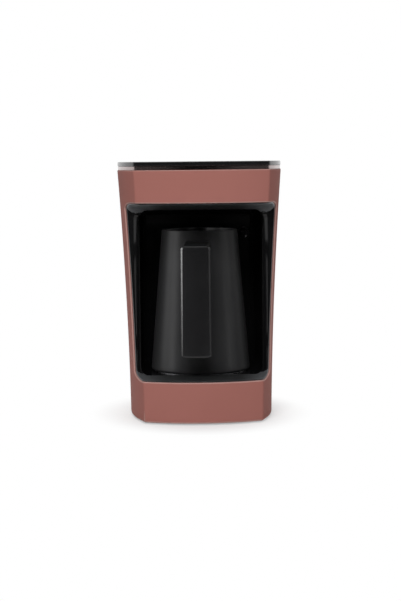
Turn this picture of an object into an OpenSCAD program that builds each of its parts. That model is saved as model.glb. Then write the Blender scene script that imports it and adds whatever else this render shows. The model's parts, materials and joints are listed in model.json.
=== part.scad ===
// Electric Turkish coffee maker: a flared body with an open brewing cavity, a conical pot that
// stands on a flush hot plate, and a start button in the top cover.
// Origin at the centre of the footprint on the table, +Z up, front towards -Y.

/* [Body] */
// Height of the sleeve's top edge above the table
shell_top = 244.4; // [238:0.2:256]
// Gap between the table and the sleeve's lower edge
shell_lift = 1.5; // [1:0.5:2.5]
// Width of the sleeve at the table
base_w = 141.4; // [138:0.2:150]
// Width of the sleeve at its top edge
top_w = 162.6; // [158:0.2:172]
// Depth of the sleeve at the table
base_d = 168; // [166:1:178]
// Depth of the sleeve at its top edge
top_d = 190; // [186:1:200]
// Share of the flare that rises in a straight line, the rest curves outwards
flare_mix = 0.34; // [0.3:0.02:0.8]
// Radius of the bowed front and back faces
front_bow = 140; // [130:5:240]
// Radius of the bowed side faces
side_bow = 200; // [180:5:260]
// Radius of the upright corners
corner_r = 4; // [3:0.5:8]
// Thickness of the sleeve's wall
shell_wall = 2.4; // [2:0.1:2.8]
// Smallest radius of the upright corners of what lies inside the sleeve
corner_min_r = 1; // [0.8:0.1:1.5]
// Rounding of the sleeve's lower edge
shell_edge_r = 2; // [1:0.1:2]

/* [Opening and bezel] */
// Rise of the opening's upper edge over the cavity's roof
bezel_rise = 7.7; // [6:0.1:9]
// Drop of the opening's lower edge under the cavity's floor
bezel_drop = 1.6; // [1:0.1:3]
// Distance from the opening's sides to the sleeve's widest line
opening_margin = 7; // [6:0.5:8]
// Corner radius at the top of the opening
opening_top_r = 5.5; // [4:0.5:8]
// Corner radius at the bottom of the opening
opening_bottom_r = 8; // [6:0.5:10]
// Width of the bezel's front lip
bezel_lip = 1.2; // [1:0.1:1.6]
// Wall thickness of the bezel
bezel_wall = 2; // [1.6:0.1:2.4]
// Step between the sleeve's face and the bezel's lip
bezel_recess = 0.4; // [0.2:0.1:0.8]

/* [Brewing cavity] */
// Height of the cavity's floor
cavity_floor = 43; // [42:0.5:45]
// Height of the space over the cavity, from its roof to the sleeve's top edge
head_h = 39.1; // [38:0.1:42]
// Space between the cavity's side and the sleeve's widest line at the table
side_space = 10.7; // [10:0.1:12]
// Space between the cavity's back and the sleeve's back at the table
rear_space = 26; // [25:0.5:29]
// Distance from the sleeve's front at the table back to the cavity's mouth
front_space = 44; // [43:0.5:46]
// Radius of the bowed back wall
back_bow = 150; // [130:5:200]
// Radius of the cavity's upright back corners
cavity_corner_r = 12; // [8:1:14]
// Corner radius of the mouth
mouth_r = 8; // [6:1:10]
// Wall thickness of the cavity moulding
liner_wall = 2.2; // [2:0.1:2.6]
// Width of the flange round the mouth
flange_w = 4; // [3:0.5:4.5]

/* [Heater] */
// Thickness of the hot plate
plate_t = 3.2; // [3:0.1:4]
// Height of the hot plate above the cavity's floor
plate_rise = 0.2; // [0.1:0.1:0.3]
// Width of the seal between the plate and the floor
seal_w = 2.5; // [2:0.1:3]
// Width of the seal's lip under the floor
seal_lip = 1.5; // [1:0.1:2]
// Thickness of that lip
seal_lip_t = 1.2; // [1:0.1:1.5]
// Distance from the plate's edge to the middle of the heating element
element_inset = 8; // [7:0.5:9]
// Diameter of the element's sheath
element_tube_d = 6.5; // [6:0.1:7]
// Angle left open between the element's two ends
element_gap = 50; // [44:2:70]
// Length of the element's cold pins
cold_pin_l = 12; // [8:1:13]
// Diameter of those pins
pin_d = 3; // [2.6:0.1:3.4]
// Diameter of the plate's two studs
stud_d = 4; // [3:0.5:4]
// Thickness of the bracket's sheet metal
bracket_t = 1.5; // [1.2:0.1:2]
// Width of the bracket, as a share of the element's diameter
bracket_share = 0.4; // [0.32:0.02:0.44]
// Gap between the element and the bracket
bracket_gap = 6; // [5:0.5:7]

/* [Pot] */
// Gap between the pot's base and the cavity's side walls
pot_side_gap = 10.3; // [9:0.1:14]
// Gap between the pot's rim and the cavity's roof
pot_headroom = 20.5; // [16:0.5:30]
// Difference between the pot's diameters at its base and at its rim
pot_taper = 24; // [18:0.5:28]
// Thickness of the pot's wall
pot_wall = 1.8; // [1.4:0.1:2.4]
// Rounding of the pot's lower edge
pot_edge_r = 3; // [2:0.5:4]
// Thickness of the metal disc that closes the pot
pot_disc_t = 3; // [2.5:0.1:4]
// Angle that the pot is turned by on its plate
pot_turn = 5; // [0:0.5:8]
// Reach of the pouring lip past the rim
spout_reach = 6; // [4:0.5:8]
// Height of the pouring lip
spout_h = 20; // [14:1:28]
// Radius of the pouring lip
spout_r = 7; // [5:0.5:9]

/* [Handle] */
// Height of the handle's lower end above the pot's base
handle_lift = 21; // [18:0.5:24]
// Drop from the pot's rim to the handle's upper end
handle_drop = 12.9; // [10:0.1:18]
// Width of the handle at its top
handle_top_w = 28; // [26:0.5:30]
// Width of the handle at its bottom
handle_bottom_w = 29; // [28:0.5:31]
// Distance from the pot's base forward to the handle's front
handle_offset = 29.3; // [27:0.1:31]
// Thickness of the handle's grip, with its cover
grip_t = 9.5; // [9:0.5:11]
// Thickness of the handle's cover
strip_t = 3.5; // [3.4:0.1:4]
// Width of the bevels along the cover's edges
strip_bevel = 2.6; // [2:0.1:2.8]
// Radius of the cover's bowed face
strip_bow = 42; // [42:1:80]
// Step between the cover's edge and the core's side
core_inset = 2.5; // [2:0.5:3]
// Height of the upper arm
upper_arm_h = 16; // [14:0.5:18]
// Height of the lower arm
lower_arm_h = 14; // [13:0.5:16]
// Drop of the upper arm from the pot to the grip
arm_slope = 5; // [3:0.5:7]
// Radius of the rounding inside the handle's window
window_r = 5; // [3:0.5:8]

/* [Top cover and button] */
// Height of the bright ring under the cover
ring_h = 3.8; // [3:0.1:5]
// Step between the sleeve and the bright ring
ring_recess = 0.7; // [0.4:0.1:1]
// Thickness of the top cover
cover_h = 4.2; // [4:0.1:5]
// Step between the sleeve and the top cover
cover_recess = 0.3; // [0.2:0.1:0.5]
// Rounding of the cover's upper edge
cover_edge_r = 1; // [0.6:0.1:1.4]
// Depth of the skirts that locate the ring and the cover
skirt_h = 4; // [3:0.5:5]
// Thickness of those skirts
skirt_t = 1.6; // [1.4:0.1:2]
// Width of the cover's snap clips
clip_w = 14; // [10:1:18]
// Reach of the clips' hooks
clip_hook = 1.2; // [0.8:0.1:1.4]
// Thickness of the hooks and of the ledges they catch under
ledge_t = 2; // [1.6:0.1:2.4]
// Diameter of the start button's cap
button_d = 31.4; // [26:0.2:33]
// Distance from the centre forward to the button
button_y = 40; // [36:1:44]
// Travel of the start button
button_travel = 1.2; // [0.8:0.1:1.5]
// Width of the light ring round the button
light_ring_w = 2; // [1.6:0.1:2.4]
// Depth of the cup under the button
cup_h = 9.8; // [9.4:0.1:11]
// Wall thickness of that cup
cup_wall = 2.2; // [1.8:0.1:2.4]
// Thickness of the cup's floor
cup_floor_t = 2; // [1.6:0.1:2.2]
// Height of the collar that guides the stem
collar_h = 3; // [2:0.5:3]
// Thickness of the button's cap and its skirt
cap_wall = 1.8; // [1.4:0.1:2]
// Diameter of the button's stem
stem_d = 6; // [5:0.2:7]
// Diameter of the button spring's wire
spring_wire_d = 0.8; // [0.6:0.1:0.9]
// Number of working turns of the button spring
spring_turns = 3; // [2:1:4]

/* [Electronics] */
// Width of the control board
board_w = 88; // [84:1:92]
// Length of the control board, front to back
board_l = 88; // [84:1:92]
// Thickness of the circuit boards
board_t = 1.6; // [1.2:0.1:2]
// Diameter of the overflow sensor's head
sensor_d = 13.2; // [12:0.2:14]
// Wall thickness of the overflow sensor's tube
sensor_wall = 1.2; // [1:0.1:1.6]
// Gap between the overflow sensor's board and the sleeve
sensor_room = 4; // [3:0.5:6]
// Distance from the overflow sensor to the cavity's side wall
sensor_inset = 13; // [12:0.5:16]
// Drop from the cavity's roof to the overflow sensor
sensor_drop = 27.3; // [24:0.1:32]
// Diameter of the inner leads
lead_d = 2.6; // [2:0.1:2.8]

/* [Base] */
// Thickness of the base plate
base_t = 2.5; // [2:0.1:3]
// Height of the base plate's lower face
base_z = 3.5; // [3:0.1:4]
// Diameter of the rubber feet
foot_d = 16; // [14:0.5:18]
// Distance from the feet to the sleeve's widest line
foot_inset_x = 26.7; // [25:0.1:30]
// Distance from the feet to the sleeve's front and back
foot_inset_y = 28; // [26:0.5:31]
// Width of the vent slots
vent_w = 3; // [2.5:0.5:4]
// Length of the vent slots
vent_l = 50; // [40:1:56]
// Distance from one vent slot to the next
vent_pitch = 8; // [7:0.5:9]
// Number of vent slots
vent_count = 7; // [5:2:7]
// Diameter of the hole that the mains cord passes through
cord_hole_d = 7; // [6:0.2:8]
// Height of that hole
cord_hole_z = 15; // [15:0.5:18]
// Wall thickness of the cable gland's neck
gland_wall = 2.3; // [2:0.1:2.6]

/* [Fasteners and fits] */
// Diameter of the screws
screw_d = 3; // [2.5:0.1:3.2]
// Diameter of the screws' heads
screw_head_d = 6; // [5:0.2:6.4]
// Height of the screws' heads
screw_head_h = 1.8; // [1.4:0.1:2]
// Depth of thread in a boss
thread_h = 6.5; // [5:0.5:6.5]
// Wall round a screw in a boss
boss_wall = 3; // [2.4:0.1:3.2]
// Gap left between pieces that fit into each other
fit_gap = 0.25; // [0.2:0.05:0.4]
// Gap between pieces that hold or guide each other
snug_gap = 0.05; // [0.03:0.01:0.1]

/* [Hidden] */
$fn = 64;

rose = "#9d6860";
gloss_black = "#161618";
satin_black = "#232324";
steel = "#b9bbbd";
copper = "#b5703c";
board_green = "#2f6b45";
rubber = "#2a2a2a";
off_white = "#d9dbe0";
sleeving = "#b8b4a8";

// Steps along each stretch of the plan's quarter, up the sleeve and round its lower edge
front_steps = 6;
corner_steps = 6;
side_steps = 6;
rise_steps = 9;
edge_steps = 3;
// Steps along the opening's edges and round its corners
rim_steps = 7;
rim_corner_steps = 4;
// Steps along each stretch of a lead, round a spring's turn and round the pot
lead_steps = 4;
coil_steps = 14;
pot_steps = 128;
// How far a cutting solid runs past what it cuts, and a joined one into what it joins
cut = 1;

// Heights
cover_z = shell_top + ring_h;
total_h = cover_z + cover_h;
base_top = base_z + base_t;
cavity_roof = shell_top - head_h;
floor_under = cavity_floor - liner_wall;
roof_over = cavity_roof + liner_wall;
opening_bottom = cavity_floor - bezel_drop;
opening_top = cavity_roof + bezel_rise;

// Fasteners
screw_bore_d = screw_d + 2 * snug_gap;
screw_hole_d = screw_d + 2 * fit_gap;
boss_r = screw_d / 2 + boss_wall;
boss_bore_h = thread_h + cut;

// Cavity and what carries it
cavity_w = base_w - 2 * side_space;
cavity_back = base_d / 2 - rear_space;
mouth_depth = base_d / 2 - front_space;
post_shoulder = 3.5;
post_wall = 2.1;
post_bore_gap = 0.4;
post_bore_r = screw_head_d / 2 + post_bore_gap;
post_r = post_bore_r + post_wall;
post_margin = 7.5;
liner_post_x = cavity_w / 2 - post_r - post_margin;
liner_post_front = post_r + post_margin - mouth_depth;
liner_post_rear = cavity_back - cavity_corner_r - post_r;
boss_end_t = 0.5;
boss_margin = 1.5;
liner_boss_z = floor_under - boss_bore_h - boss_end_t;
bracket_boss_z = floor_under - boss_bore_h;
bracket_boss_x = cavity_w / 2 - boss_r - boss_margin;

// Heater
seal_margin = 0.5;
plate_d = 2 * (mouth_depth - liner_wall - seal_w - seal_lip - fit_gap - seal_margin);
plate_top = cavity_floor + plate_rise;
plate_bottom = plate_top - plate_t;
seal_hole_d = plate_d + 2 * seal_w;
element_d = plate_d - 2 * element_inset;
element_z = plate_bottom - element_tube_d / 2;
element_in_r = (element_d - element_tube_d) / 2;
bracket_w = bracket_share * element_d;
strap_z = element_z - element_tube_d / 2 - bracket_gap;
stud_margin = 2.75;
stud_spacing = element_d - element_tube_d - stud_d - 2 * stud_margin;
stud_end = 5;
nut_h = 3.2;
nut_d = 8;
probe_d = 9;
probe_h = 5;
probe_stem_d = 5;
probe_z = strap_z - 3;
fuse_saddle = [12, 5, 2];
fuse_d = 3.9;
fuse_l = 10.6;
fuse_wire_d = 1;

// Overflow sensor, square to the bowed back wall
sensor_x = cavity_w / 2 - sensor_inset;
sensor_y = cavity_back - back_bow + sqrt(back_bow * back_bow - sensor_x * sensor_x);
sensor_z = cavity_roof - sensor_drop;
sensor_turn = asin(sensor_x / back_bow);
sensor_bore_d = sensor_d - 2 * sensor_wall;
sensor_board_extra = 3;
sensor_board_size = [sensor_d + sensor_board_extra, sensor_d, board_t];
sensor_half = sensor_board_size.x / 2;
// True if the board's outer corner, l along the sensor's axis, keeps its room to the sleeve
function sensor_clear(l) =
    let (
        x = sensor_x + sensor_half * cos(sensor_turn) + l * sin(sensor_turn),
        y = sensor_y - sensor_half * sin(sensor_turn) + l * cos(sensor_turn)
    ) y < -plan_y(x, sensor_z, shell_wall + sensor_room);
// The farthest clear distance between near and far, found by halving
function sensor_reach(near, far, steps) =
    let (middle = (near + far) / 2)
        steps == 0 ? near
        : sensor_clear(middle) ? sensor_reach(middle, far, steps - 1)
        : sensor_reach(near, middle, steps - 1);
sensor_l = sensor_reach(0, base_d / 4, 12) - board_t;
sensor_rise = 1.5;
sensor_flange_w = 2.5;
sensor_flange_d = sensor_d + 2 * sensor_flange_w;
sensor_flange_t = 1.6;
lens_rise = 0.6;
lens_edge = 2.5;
lens_dome = 1.2;

// Ring and cover
skirt_z = shell_top - skirt_h;
ring_skirt_inset = shell_wall + fit_gap;
cover_skirt_inset = ring_skirt_inset + skirt_t + fit_gap;
ledge_top = skirt_z - fit_gap;
hook_top = ledge_top - ledge_t - fit_gap;

// Button, its light ring and its cup
button_gap = 0.3;
light_in_d = button_d + 2 * button_gap;
light_out_d = light_in_d + 2 * light_ring_w;
light_flange_w = 1.5;
light_flange_d = light_out_d + 2 * light_flange_w;
light_flange_t = 1.5;
cup_z = cover_z - cup_h;
cup_in_d = light_flange_d + 2 * fit_gap;
guide_rod_d = 2;
guide_rod_margin = 0.1;
guide_rod_x = light_flange_d / 2 - guide_rod_d / 2 - guide_rod_margin;
cap_drop = 0.2;
cap_top = total_h - cap_drop;
cap_flange_t = 1.5;
cap_flange_r = guide_rod_x - guide_rod_d / 2 - fit_gap;
cap_flange_gap = 0.2;
cap_flange_z = cover_z - light_flange_t - cap_flange_gap - cap_flange_t;
cap_edge = 0.6;
stem_lift = 0.5;
stem_end = cup_z + stem_lift;
spring_gap = 4;
spring_r = stem_d / 2 + spring_gap;

// Board and what it carries
switch_h = 4.2;
switch_body = [6.2, 6.2, 3.4];
switch_gap = 0.1;
board_top = stem_end - button_travel - switch_gap - switch_h;
board_under = board_top - board_t;
board_y = -8;
board_rear = board_y + board_l / 2;
pillar_inset = 5;
pillar_x = board_w / 2 - pillar_inset;
pillar_y = board_l / 2 - pillar_inset;
pillar_bore_h = 9;
led_d = 3;
led_h = 2.1;
relay_size = [19, 15.5, 15];
relay_at = [25.5, -16.2];
transformer_core = [30, 26, 18];
transformer_coil = [22, 34, 12];
transformer_at = [-24, 4];
capacitor_d = 10;
capacitor_h = 16;
capacitor_at = [18, 12];
buzzer_d = 12;
buzzer_h = 8.5;
buzzer_at = [-22, -34];

// Base, feet and mains inlet
boss_inset = 23;
boss_x = base_w / 2 - boss_inset;
boss_h = 16;
foot_x = base_w / 2 - foot_inset_x;
foot_y = base_d / 2 - foot_inset_y;
foot_stem_d = 6;
foot_bulb = 1.2;
foot_edge = 0.8;
gland_neck = cord_hole_d + 2 * gland_wall;
gland_flange_w = 2.5;
gland_flange_d = gland_neck + 2 * gland_flange_w;
gland_nose = 2.5;
terminal_size = [26, 16, 13];
terminal_inset = 22;
terminal_y = base_d / 2 - terminal_inset;
terminal_pitch = terminal_size.x / 2;
terminal_depth = 4;

// Pot and handle
pot_z = plate_top;
pot_h = cavity_roof - pot_z - pot_headroom;
base_r = cavity_w / 2 - pot_side_gap;
rim_r = base_r - pot_taper / 2;
disc_margin = 0.6;
disc_r = base_r - pot_edge_r - disc_margin;
disc_edge = 0.5;
rim_edge = 0.4;
handle_reach = base_r + handle_offset;
handle_top = pot_h - handle_drop;
core_w = handle_top_w - 2 * core_inset;
core_front = handle_reach - strip_t;
grip_back = handle_reach - grip_t;
arm_boss_r = 4;
arm_boss_l = 6;
arm_heights = [handle_lift + lower_arm_h / 2, handle_top - (upper_arm_h + arm_slope) / 2];
seat_depth = 2;
screw_seat = grip_back - seat_depth;

// Lead routes, from what each lead serves to the underside of the board
channel_y = (cavity_back + liner_wall + base_d / 2 - shell_wall) / 2;
turn_z = roof_over + 10;
rise_low = 60;
rise_high = 130;
floor_run = 16;
supply_x = 8;
heater_x = 20;
sensor_lead_x = 30;
element_pin = element_d / 2 * [cos(90 - element_gap / 2), sin(90 - element_gap / 2)];
sensor_end = [sensor_x, sensor_y]
    + (sensor_l + board_t + snug_gap) * [sin(sensor_turn), cos(sensor_turn)];
function climb(x) = [
    [x, channel_y, rise_low], [x, channel_y, rise_high], [x, channel_y, roof_over - 4],
    [x, channel_y - 14, turn_z], [x, board_rear - 8, board_under - 6], [x, board_rear - 8, board_under]
];
supply_route = concat(
    [[terminal_pitch / 2, terminal_y, base_top + terminal_size.z - terminal_depth],
     [terminal_pitch / 2, terminal_y, base_top + terminal_size.z + 4], [8, channel_y - 2, 32]],
    climb(supply_x));
heater_route = concat(
    [[element_pin.x, element_pin.y, element_z - cold_pin_l],
     [element_pin.x, element_pin.y, element_z - cold_pin_l - 4],
     [17, element_pin.y + 12, floor_run], [20, channel_y - 8, 20]],
    climb(heater_x));
probe_route = concat(
    [[0, 0, probe_z], [0, 0, probe_z - 4], [-14, 16, floor_run], [-26, channel_y - 24, floor_run],
     [-30, channel_y - 8, 32]],
    climb(-sensor_lead_x));
overflow_route = [
    [sensor_end.x, sensor_end.y, sensor_z],
    [sensor_end.x + 2 * sin(sensor_turn), sensor_end.y + 2 * cos(sensor_turn), sensor_z],
    [46, channel_y - 1, sensor_z + 14], [36, channel_y - 6, turn_z - 2],
    [sensor_lead_x, board_rear - 8, board_under - 6], [sensor_lead_x, board_rear - 8, board_under]
];

// ---- The flared plan: two bowed faces, two bowed sides and four corner arcs ----

// Share of the flare that is reached at height z
function flare(z) = let (t = z / shell_top) flare_mix * t + (1 - flare_mix) * t * t;
function half_w(z) = (base_w + (top_w - base_w) * flare(z)) / 2;
function half_d(z) = (base_d + (top_d - base_d) * flare(z)) / 2;

function face_centre(z) = [0, front_bow - half_d(z)];
function side_centre(z) = [half_w(z) - side_bow, 0];
function corner_radius(inset) = max(corner_r - inset, corner_min_r);
// Centre of the front right corner arc, which touches the inset face and side from inside
function corner_centre(z, inset) =
    let (
        f = face_centre(z),
        s = side_centre(z),
        from_face = front_bow - inset - corner_radius(inset),
        from_side = side_bow - inset - corner_radius(inset),
        d = norm(s - f),
        along = (from_face * from_face - from_side * from_side + d * d) / (2 * d),
        across = sqrt(from_face * from_face - along * along),
        u = (s - f) / d
    ) f + along * u + across * [-u.y, u.x];
function angle_of(v) = atan2(v.y, v.x);
function arc(c, r, a0, a1, steps) =
    [for (k = [1:steps]) let (a = a0 + (a1 - a0) * k / steps) c + r * [cos(a), sin(a)]];

// Points from the middle of the front to the middle of the right side
function plan_quarter(z, inset) =
    let (
        c = corner_centre(z, inset),
        a_face = angle_of(c - face_centre(z)),
        a_side = angle_of(c - side_centre(z))
    ) concat(
        [[0, -half_d(z) + inset]],
        arc(face_centre(z), front_bow - inset, -90, a_face, front_steps),
        arc(c, corner_radius(inset), a_face, a_side, corner_steps),
        arc(side_centre(z), side_bow - inset, a_side, 0, side_steps)
    );
// A half loop from the front to the back, and the whole loop, by mirroring
function half_loop(q) = concat(q, [for (i = [len(q) - 2:-1:0]) [q[i].x, -q[i].y]]);
function mirror_loop(h) = concat(h, [for (i = [len(h) - 2:-1:1]) [-h[i].x, h[i].y]]);
function plan_loop(z, inset) = mirror_loop(half_loop(plan_quarter(z, inset)));
// The plan's loop at plan_z, lifted to height z
function lifted(plan_z, inset, z) = [for (p = plan_loop(plan_z, inset)) [p.x, p.y, z]];

// Y of the front half of the plan at x, moved inwards by inset
function plan_y(x, z, inset) =
    let (
        u = abs(x),
        f = face_centre(z),
        s = side_centre(z),
        c = corner_centre(z, inset),
        r = corner_radius(inset),
        face_end = c.x + r * cos(angle_of(c - f)),
        corner_end = c.x + r * cos(angle_of(c - s))
    ) u <= face_end ? f.y - sqrt(pow(front_bow - inset, 2) - u * u)
    : u <= corner_end ? c.y - sqrt(r * r - pow(u - c.x, 2))
    : -sqrt(pow(side_bow - inset, 2) - pow(u - s.x, 2));

// ---- Solids made from rings of points ----

function ring_faces(n, m, closed) =
    [for (j = [0:m - (closed ? 1 : 2)], i = [0:n - 1])
        let (a = j * n + i, b = j * n + (i + 1) % n, up = ((j + 1) % m) * n)
        each [[a, up + (i + 1) % n, b], [a, up + i, up + (i + 1) % n]]];
// A ring-shaped solid whose skin passes through every loop and back to the first
module loft_ring(loops) {
    n = len(loops[0]);
    m = len(loops);
    polyhedron([for (l = loops) each l], ring_faces(n, m, true));
}
// A closed solid between the first loop and the last
module loft(loops) {
    n = len(loops[0]);
    m = len(loops);
    caps = [[for (i = [0:n - 1]) i], [for (i = [n - 1:-1:0]) (m - 1) * n + i]];
    polyhedron([for (l = loops) each l], concat(ring_faces(n, m, false), caps));
}
function unit(v) = v / norm(v);
// Points of a smooth curve through the given points
function smooth(p, steps) =
    [for (i = [0:len(p) - 2], k = [0:steps - (i == len(p) - 2 ? 0 : 1)])
        let (
            t = k / steps,
            a = p[max(i - 1, 0)],
            b = p[i],
            c = p[i + 1],
            d = p[min(i + 2, len(p) - 1)]
        ) 0.5 * (2 * b + (c - a) * t + (2 * a - 5 * b + 4 * c - d) * t * t
                 + (3 * b - a - 3 * c + d) * t * t * t)];
// Side direction carried along the path, so that the tube doesn't twist
function carried(dirs, i, u) =
    i == 0 ? [u]
    : let (before = carried(dirs, i - 1, u), w = before[i - 1])
        concat(before, [unit(w - (w * dirs[i]) * dirs[i])]);
// A round tube along a path, its ends square to the given directions
module tube_path(points, d, first_dir, last_dir, sides = 8) {
    last = len(points) - 1;
    dirs = [for (i = [0:last])
        i == 0 ? first_dir : i == last ? last_dir : unit(points[i + 1] - points[i - 1])];
    first_side = unit(cross(dirs[0], abs(dirs[0].z) > 0.9 ? [1, 0, 0] : [0, 0, 1]));
    across = carried(dirs, last, first_side);
    loft([for (i = [0:last])
        [for (k = [0:sides - 1]) let (a = 360 * k / sides, u = across[i], v = cross(dirs[i], u))
            points[i] + d / 2 * (u * cos(a) + v * sin(a))]]);
}
module lead(route) {
    last = len(route) - 1;
    tube_path(smooth(route, lead_steps), lead_d,
        unit(route[1] - route[0]), unit(route[last] - route[last - 1]));
}
function mirrored(route) = [for (p = route) [-p.x, p.y, p.z]];

// ---- Places ----

module in_pairs(x) {
    for (s = [-1, 1]) translate([s * x, 0, 0]) children();
}
module at_corners(x, y) {
    for (sx = [-1, 1], sy = [-1, 1]) translate([sx * x, sy * y, 0]) children();
}
// The screw bosses that stand on the sleeve's inner face
module at_sleeve_bosses() {
    inner_y = -plan_y(boss_x, base_z, shell_wall);
    at_corners(boss_x, inner_y - boss_r + cut) children();
}
module at_liner_posts() {
    for (y = [liner_post_front, liner_post_rear]) translate([0, y, 0]) in_pairs(liner_post_x) children();
}
module at_pillars() {
    translate([0, board_y, 0]) at_corners(pillar_x, pillar_y) children();
}
module on_button_axis() {
    translate([0, -button_y, 0]) children();
}
// Places its children on the sensor's axis, +Z pointing out of the back wall towards the pot
module on_sensor_axis() {
    translate([sensor_x, sensor_y, sensor_z]) rotate([90, 0, -sensor_turn]) children();
}
// A pan-head screw, its head under z = 0 and its shank pointing up
module screw(length) {
    translate([0, 0, -screw_head_h]) cylinder(d1 = screw_head_d - 1, d2 = screw_head_d, h = screw_head_h);
    cylinder(d = screw_d, h = length);
}

// ---- Sleeve and bezel ----

// Outline round an opening in the X-Z plane, from bottom to top on the right and back on the left
function rim_outline(z0, z1, r0, r1, half) =
    let (
        x0 = half(z0 + r0) - r0,
        x1 = half(z1 - r1) - r1,
        low = z0 + r0,
        high = z1 - r1,
        right = concat(
            [for (k = [0:rim_steps]) [x0 * k / rim_steps, z0]],
            arc([x0, low], r0, -90, 0, rim_corner_steps),
            [for (k = [1:rim_steps]) let (z = low + (high - low) * k / rim_steps) [half(z), z]],
            arc([x1, high], r1, 0, 90, rim_corner_steps),
            [for (k = [1:rim_steps]) [x1 * (1 - k / rim_steps), z1]]
        )
    ) mirror_loop(right);
function opening_outline(inset) = rim_outline(
    opening_bottom + inset, opening_top - inset, opening_bottom_r - inset, opening_top_r - inset,
    function(z) half_w(z) - opening_margin - inset);
function mouth_outline(grow) = rim_outline(
    cavity_floor - grow, cavity_roof + grow, mouth_r + grow, mouth_r + grow,
    function(z) cavity_w / 2 + grow);
function on_sleeve(outline, back) = [for (p = outline) [p.x, plan_y(p.x, p.y, 0) + back, p.y]];
function on_mouth(outline) = [for (p = outline) [p.x, -mouth_depth, p.y]];

module body_shell() {
    low = shell_lift + shell_edge_r;
    high = shell_top - cut;
    levels = [for (k = [0:rise_steps]) low + (high - low) * k / rise_steps];
    low_edge = [for (k = [0:edge_steps - 1])
        let (a = 90 * k / edge_steps, z = low - shell_edge_r * cos(a))
        lifted(z, shell_edge_r * (1 - sin(a)), z)];
    top_edge = [lifted(shell_top, ring_recess, shell_top)];
    outer = concat(low_edge, [for (z = levels) lifted(z, 0, z)], top_edge);
    inner_levels = concat([shell_top], [for (k = [rise_steps - 1:-1:1]) levels[k]], [shell_lift]);
    inner = [for (z = inner_levels) lifted(z, shell_wall, z)];
    notch_w = gland_neck + 2 * snug_gap;
    ledge_x = half_w(skirt_z) - cover_skirt_inset + fit_gap;
    color(rose) difference() {
        union() {
            loft_ring(concat(outer, inner));
            translate([0, 0, base_top]) at_sleeve_bosses() cylinder(r = boss_r, h = boss_h);
            for (s = [0, 180]) rotate([0, 0, s]) translate([ledge_x, -clip_w, ledge_top - ledge_t])
                cube([half_w(skirt_z) - shell_wall + cut - ledge_x, 2 * clip_w, ledge_t]);
        }
        rotate([90, 0, 0]) linear_extrude(top_d) polygon(opening_outline(0));
        translate([0, 0, base_z - cut]) at_sleeve_bosses() cylinder(d = screw_bore_d, h = boss_h + cut);
        translate([-notch_w / 2, base_d / 4, 0]) cube([notch_w, base_d, cord_hole_z + notch_w / 2]);
    }
}

module front_bezel() {
    color(gloss_black) loft_ring([
        on_sleeve(opening_outline(fit_gap), bezel_recess),
        on_sleeve(opening_outline(fit_gap + bezel_lip), bezel_recess),
        on_mouth(mouth_outline(0)),
        on_mouth(mouth_outline(bezel_wall))
    ]);
}

// ---- Brewing cavity ----

// Plan of the cavity, grown outwards by the given amount; open towards the front
module cavity_plan(grow) {
    reach = mouth_depth + cavity_back;
    offset(r = grow) offset(r = cavity_corner_r) offset(delta = -cavity_corner_r) intersection() {
        translate([-cavity_w / 2, -mouth_depth - reach]) square([cavity_w, 2 * reach]);
        translate([0, cavity_back - back_bow]) circle(r = back_bow);
    }
}
// The space inside the cavity, with the mouth's rounded corners at its front
module cavity_space() {
    difference() {
        translate([0, 0, cavity_floor]) linear_extrude(cavity_roof - cavity_floor) cavity_plan(0);
        difference() {
            translate([-cavity_w, -mouth_depth - base_d, 0])
                cube([2 * cavity_w, base_d + 2 * liner_wall, total_h]);
            translate([0, base_d, 0]) rotate([90, 0, 0]) linear_extrude(3 * base_d)
                polygon(mouth_outline(0));
        }
    }
}

module cavity_liner() {
    color(gloss_black) difference() {
        union() {
            intersection() {
                translate([0, 0, floor_under]) linear_extrude(roof_over - floor_under)
                    cavity_plan(liner_wall);
                translate([-base_w, -mouth_depth, 0]) cube([2 * base_w, base_d, total_h]);
            }
            translate([0, -mouth_depth + liner_wall, 0]) rotate([90, 0, 0])
                linear_extrude(liner_wall) polygon(mouth_outline(flange_w));
            translate([0, 0, liner_boss_z]) at_liner_posts()
                cylinder(r = boss_r, h = floor_under - liner_boss_z + cut);
            translate([0, 0, bracket_boss_z]) in_pairs(bracket_boss_x)
                cylinder(r = boss_r, h = floor_under - bracket_boss_z + cut);
        }
        cavity_space();
        translate([0, 0, floor_under - cut]) cylinder(d = seal_hole_d, h = liner_wall + 2 * cut);
        translate([0, 0, liner_boss_z - cut]) at_liner_posts()
            cylinder(d = screw_bore_d, h = cut + boss_bore_h);
        translate([0, 0, bracket_boss_z - cut]) in_pairs(bracket_boss_x)
            cylinder(d = screw_bore_d, h = cut + boss_bore_h);
        on_sensor_axis() cylinder(d = sensor_d + 2 * snug_gap, h = 2 * cavity_corner_r, center = true);
    }
}

// ---- Heater ----

module hot_plate() {
    stud_z = strap_z - stud_end;
    color(steel) union() {
        translate([0, 0, plate_bottom]) cylinder(d = plate_d, h = plate_t);
        translate([0, 0, stud_z]) in_pairs(stud_spacing / 2)
            cylinder(d = stud_d, h = plate_bottom - stud_z + cut);
    }
}

module plate_seal() {
    plate_r = plate_d / 2;
    hole_r = seal_hole_d / 2;
    color(rubber) rotate_extrude() polygon([
        [plate_r, floor_under - seal_lip_t], [hole_r + seal_lip, floor_under - seal_lip_t],
        [hole_r + seal_lip, floor_under], [hole_r, floor_under],
        [hole_r, cavity_floor], [plate_r, cavity_floor]
    ]);
}

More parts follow.
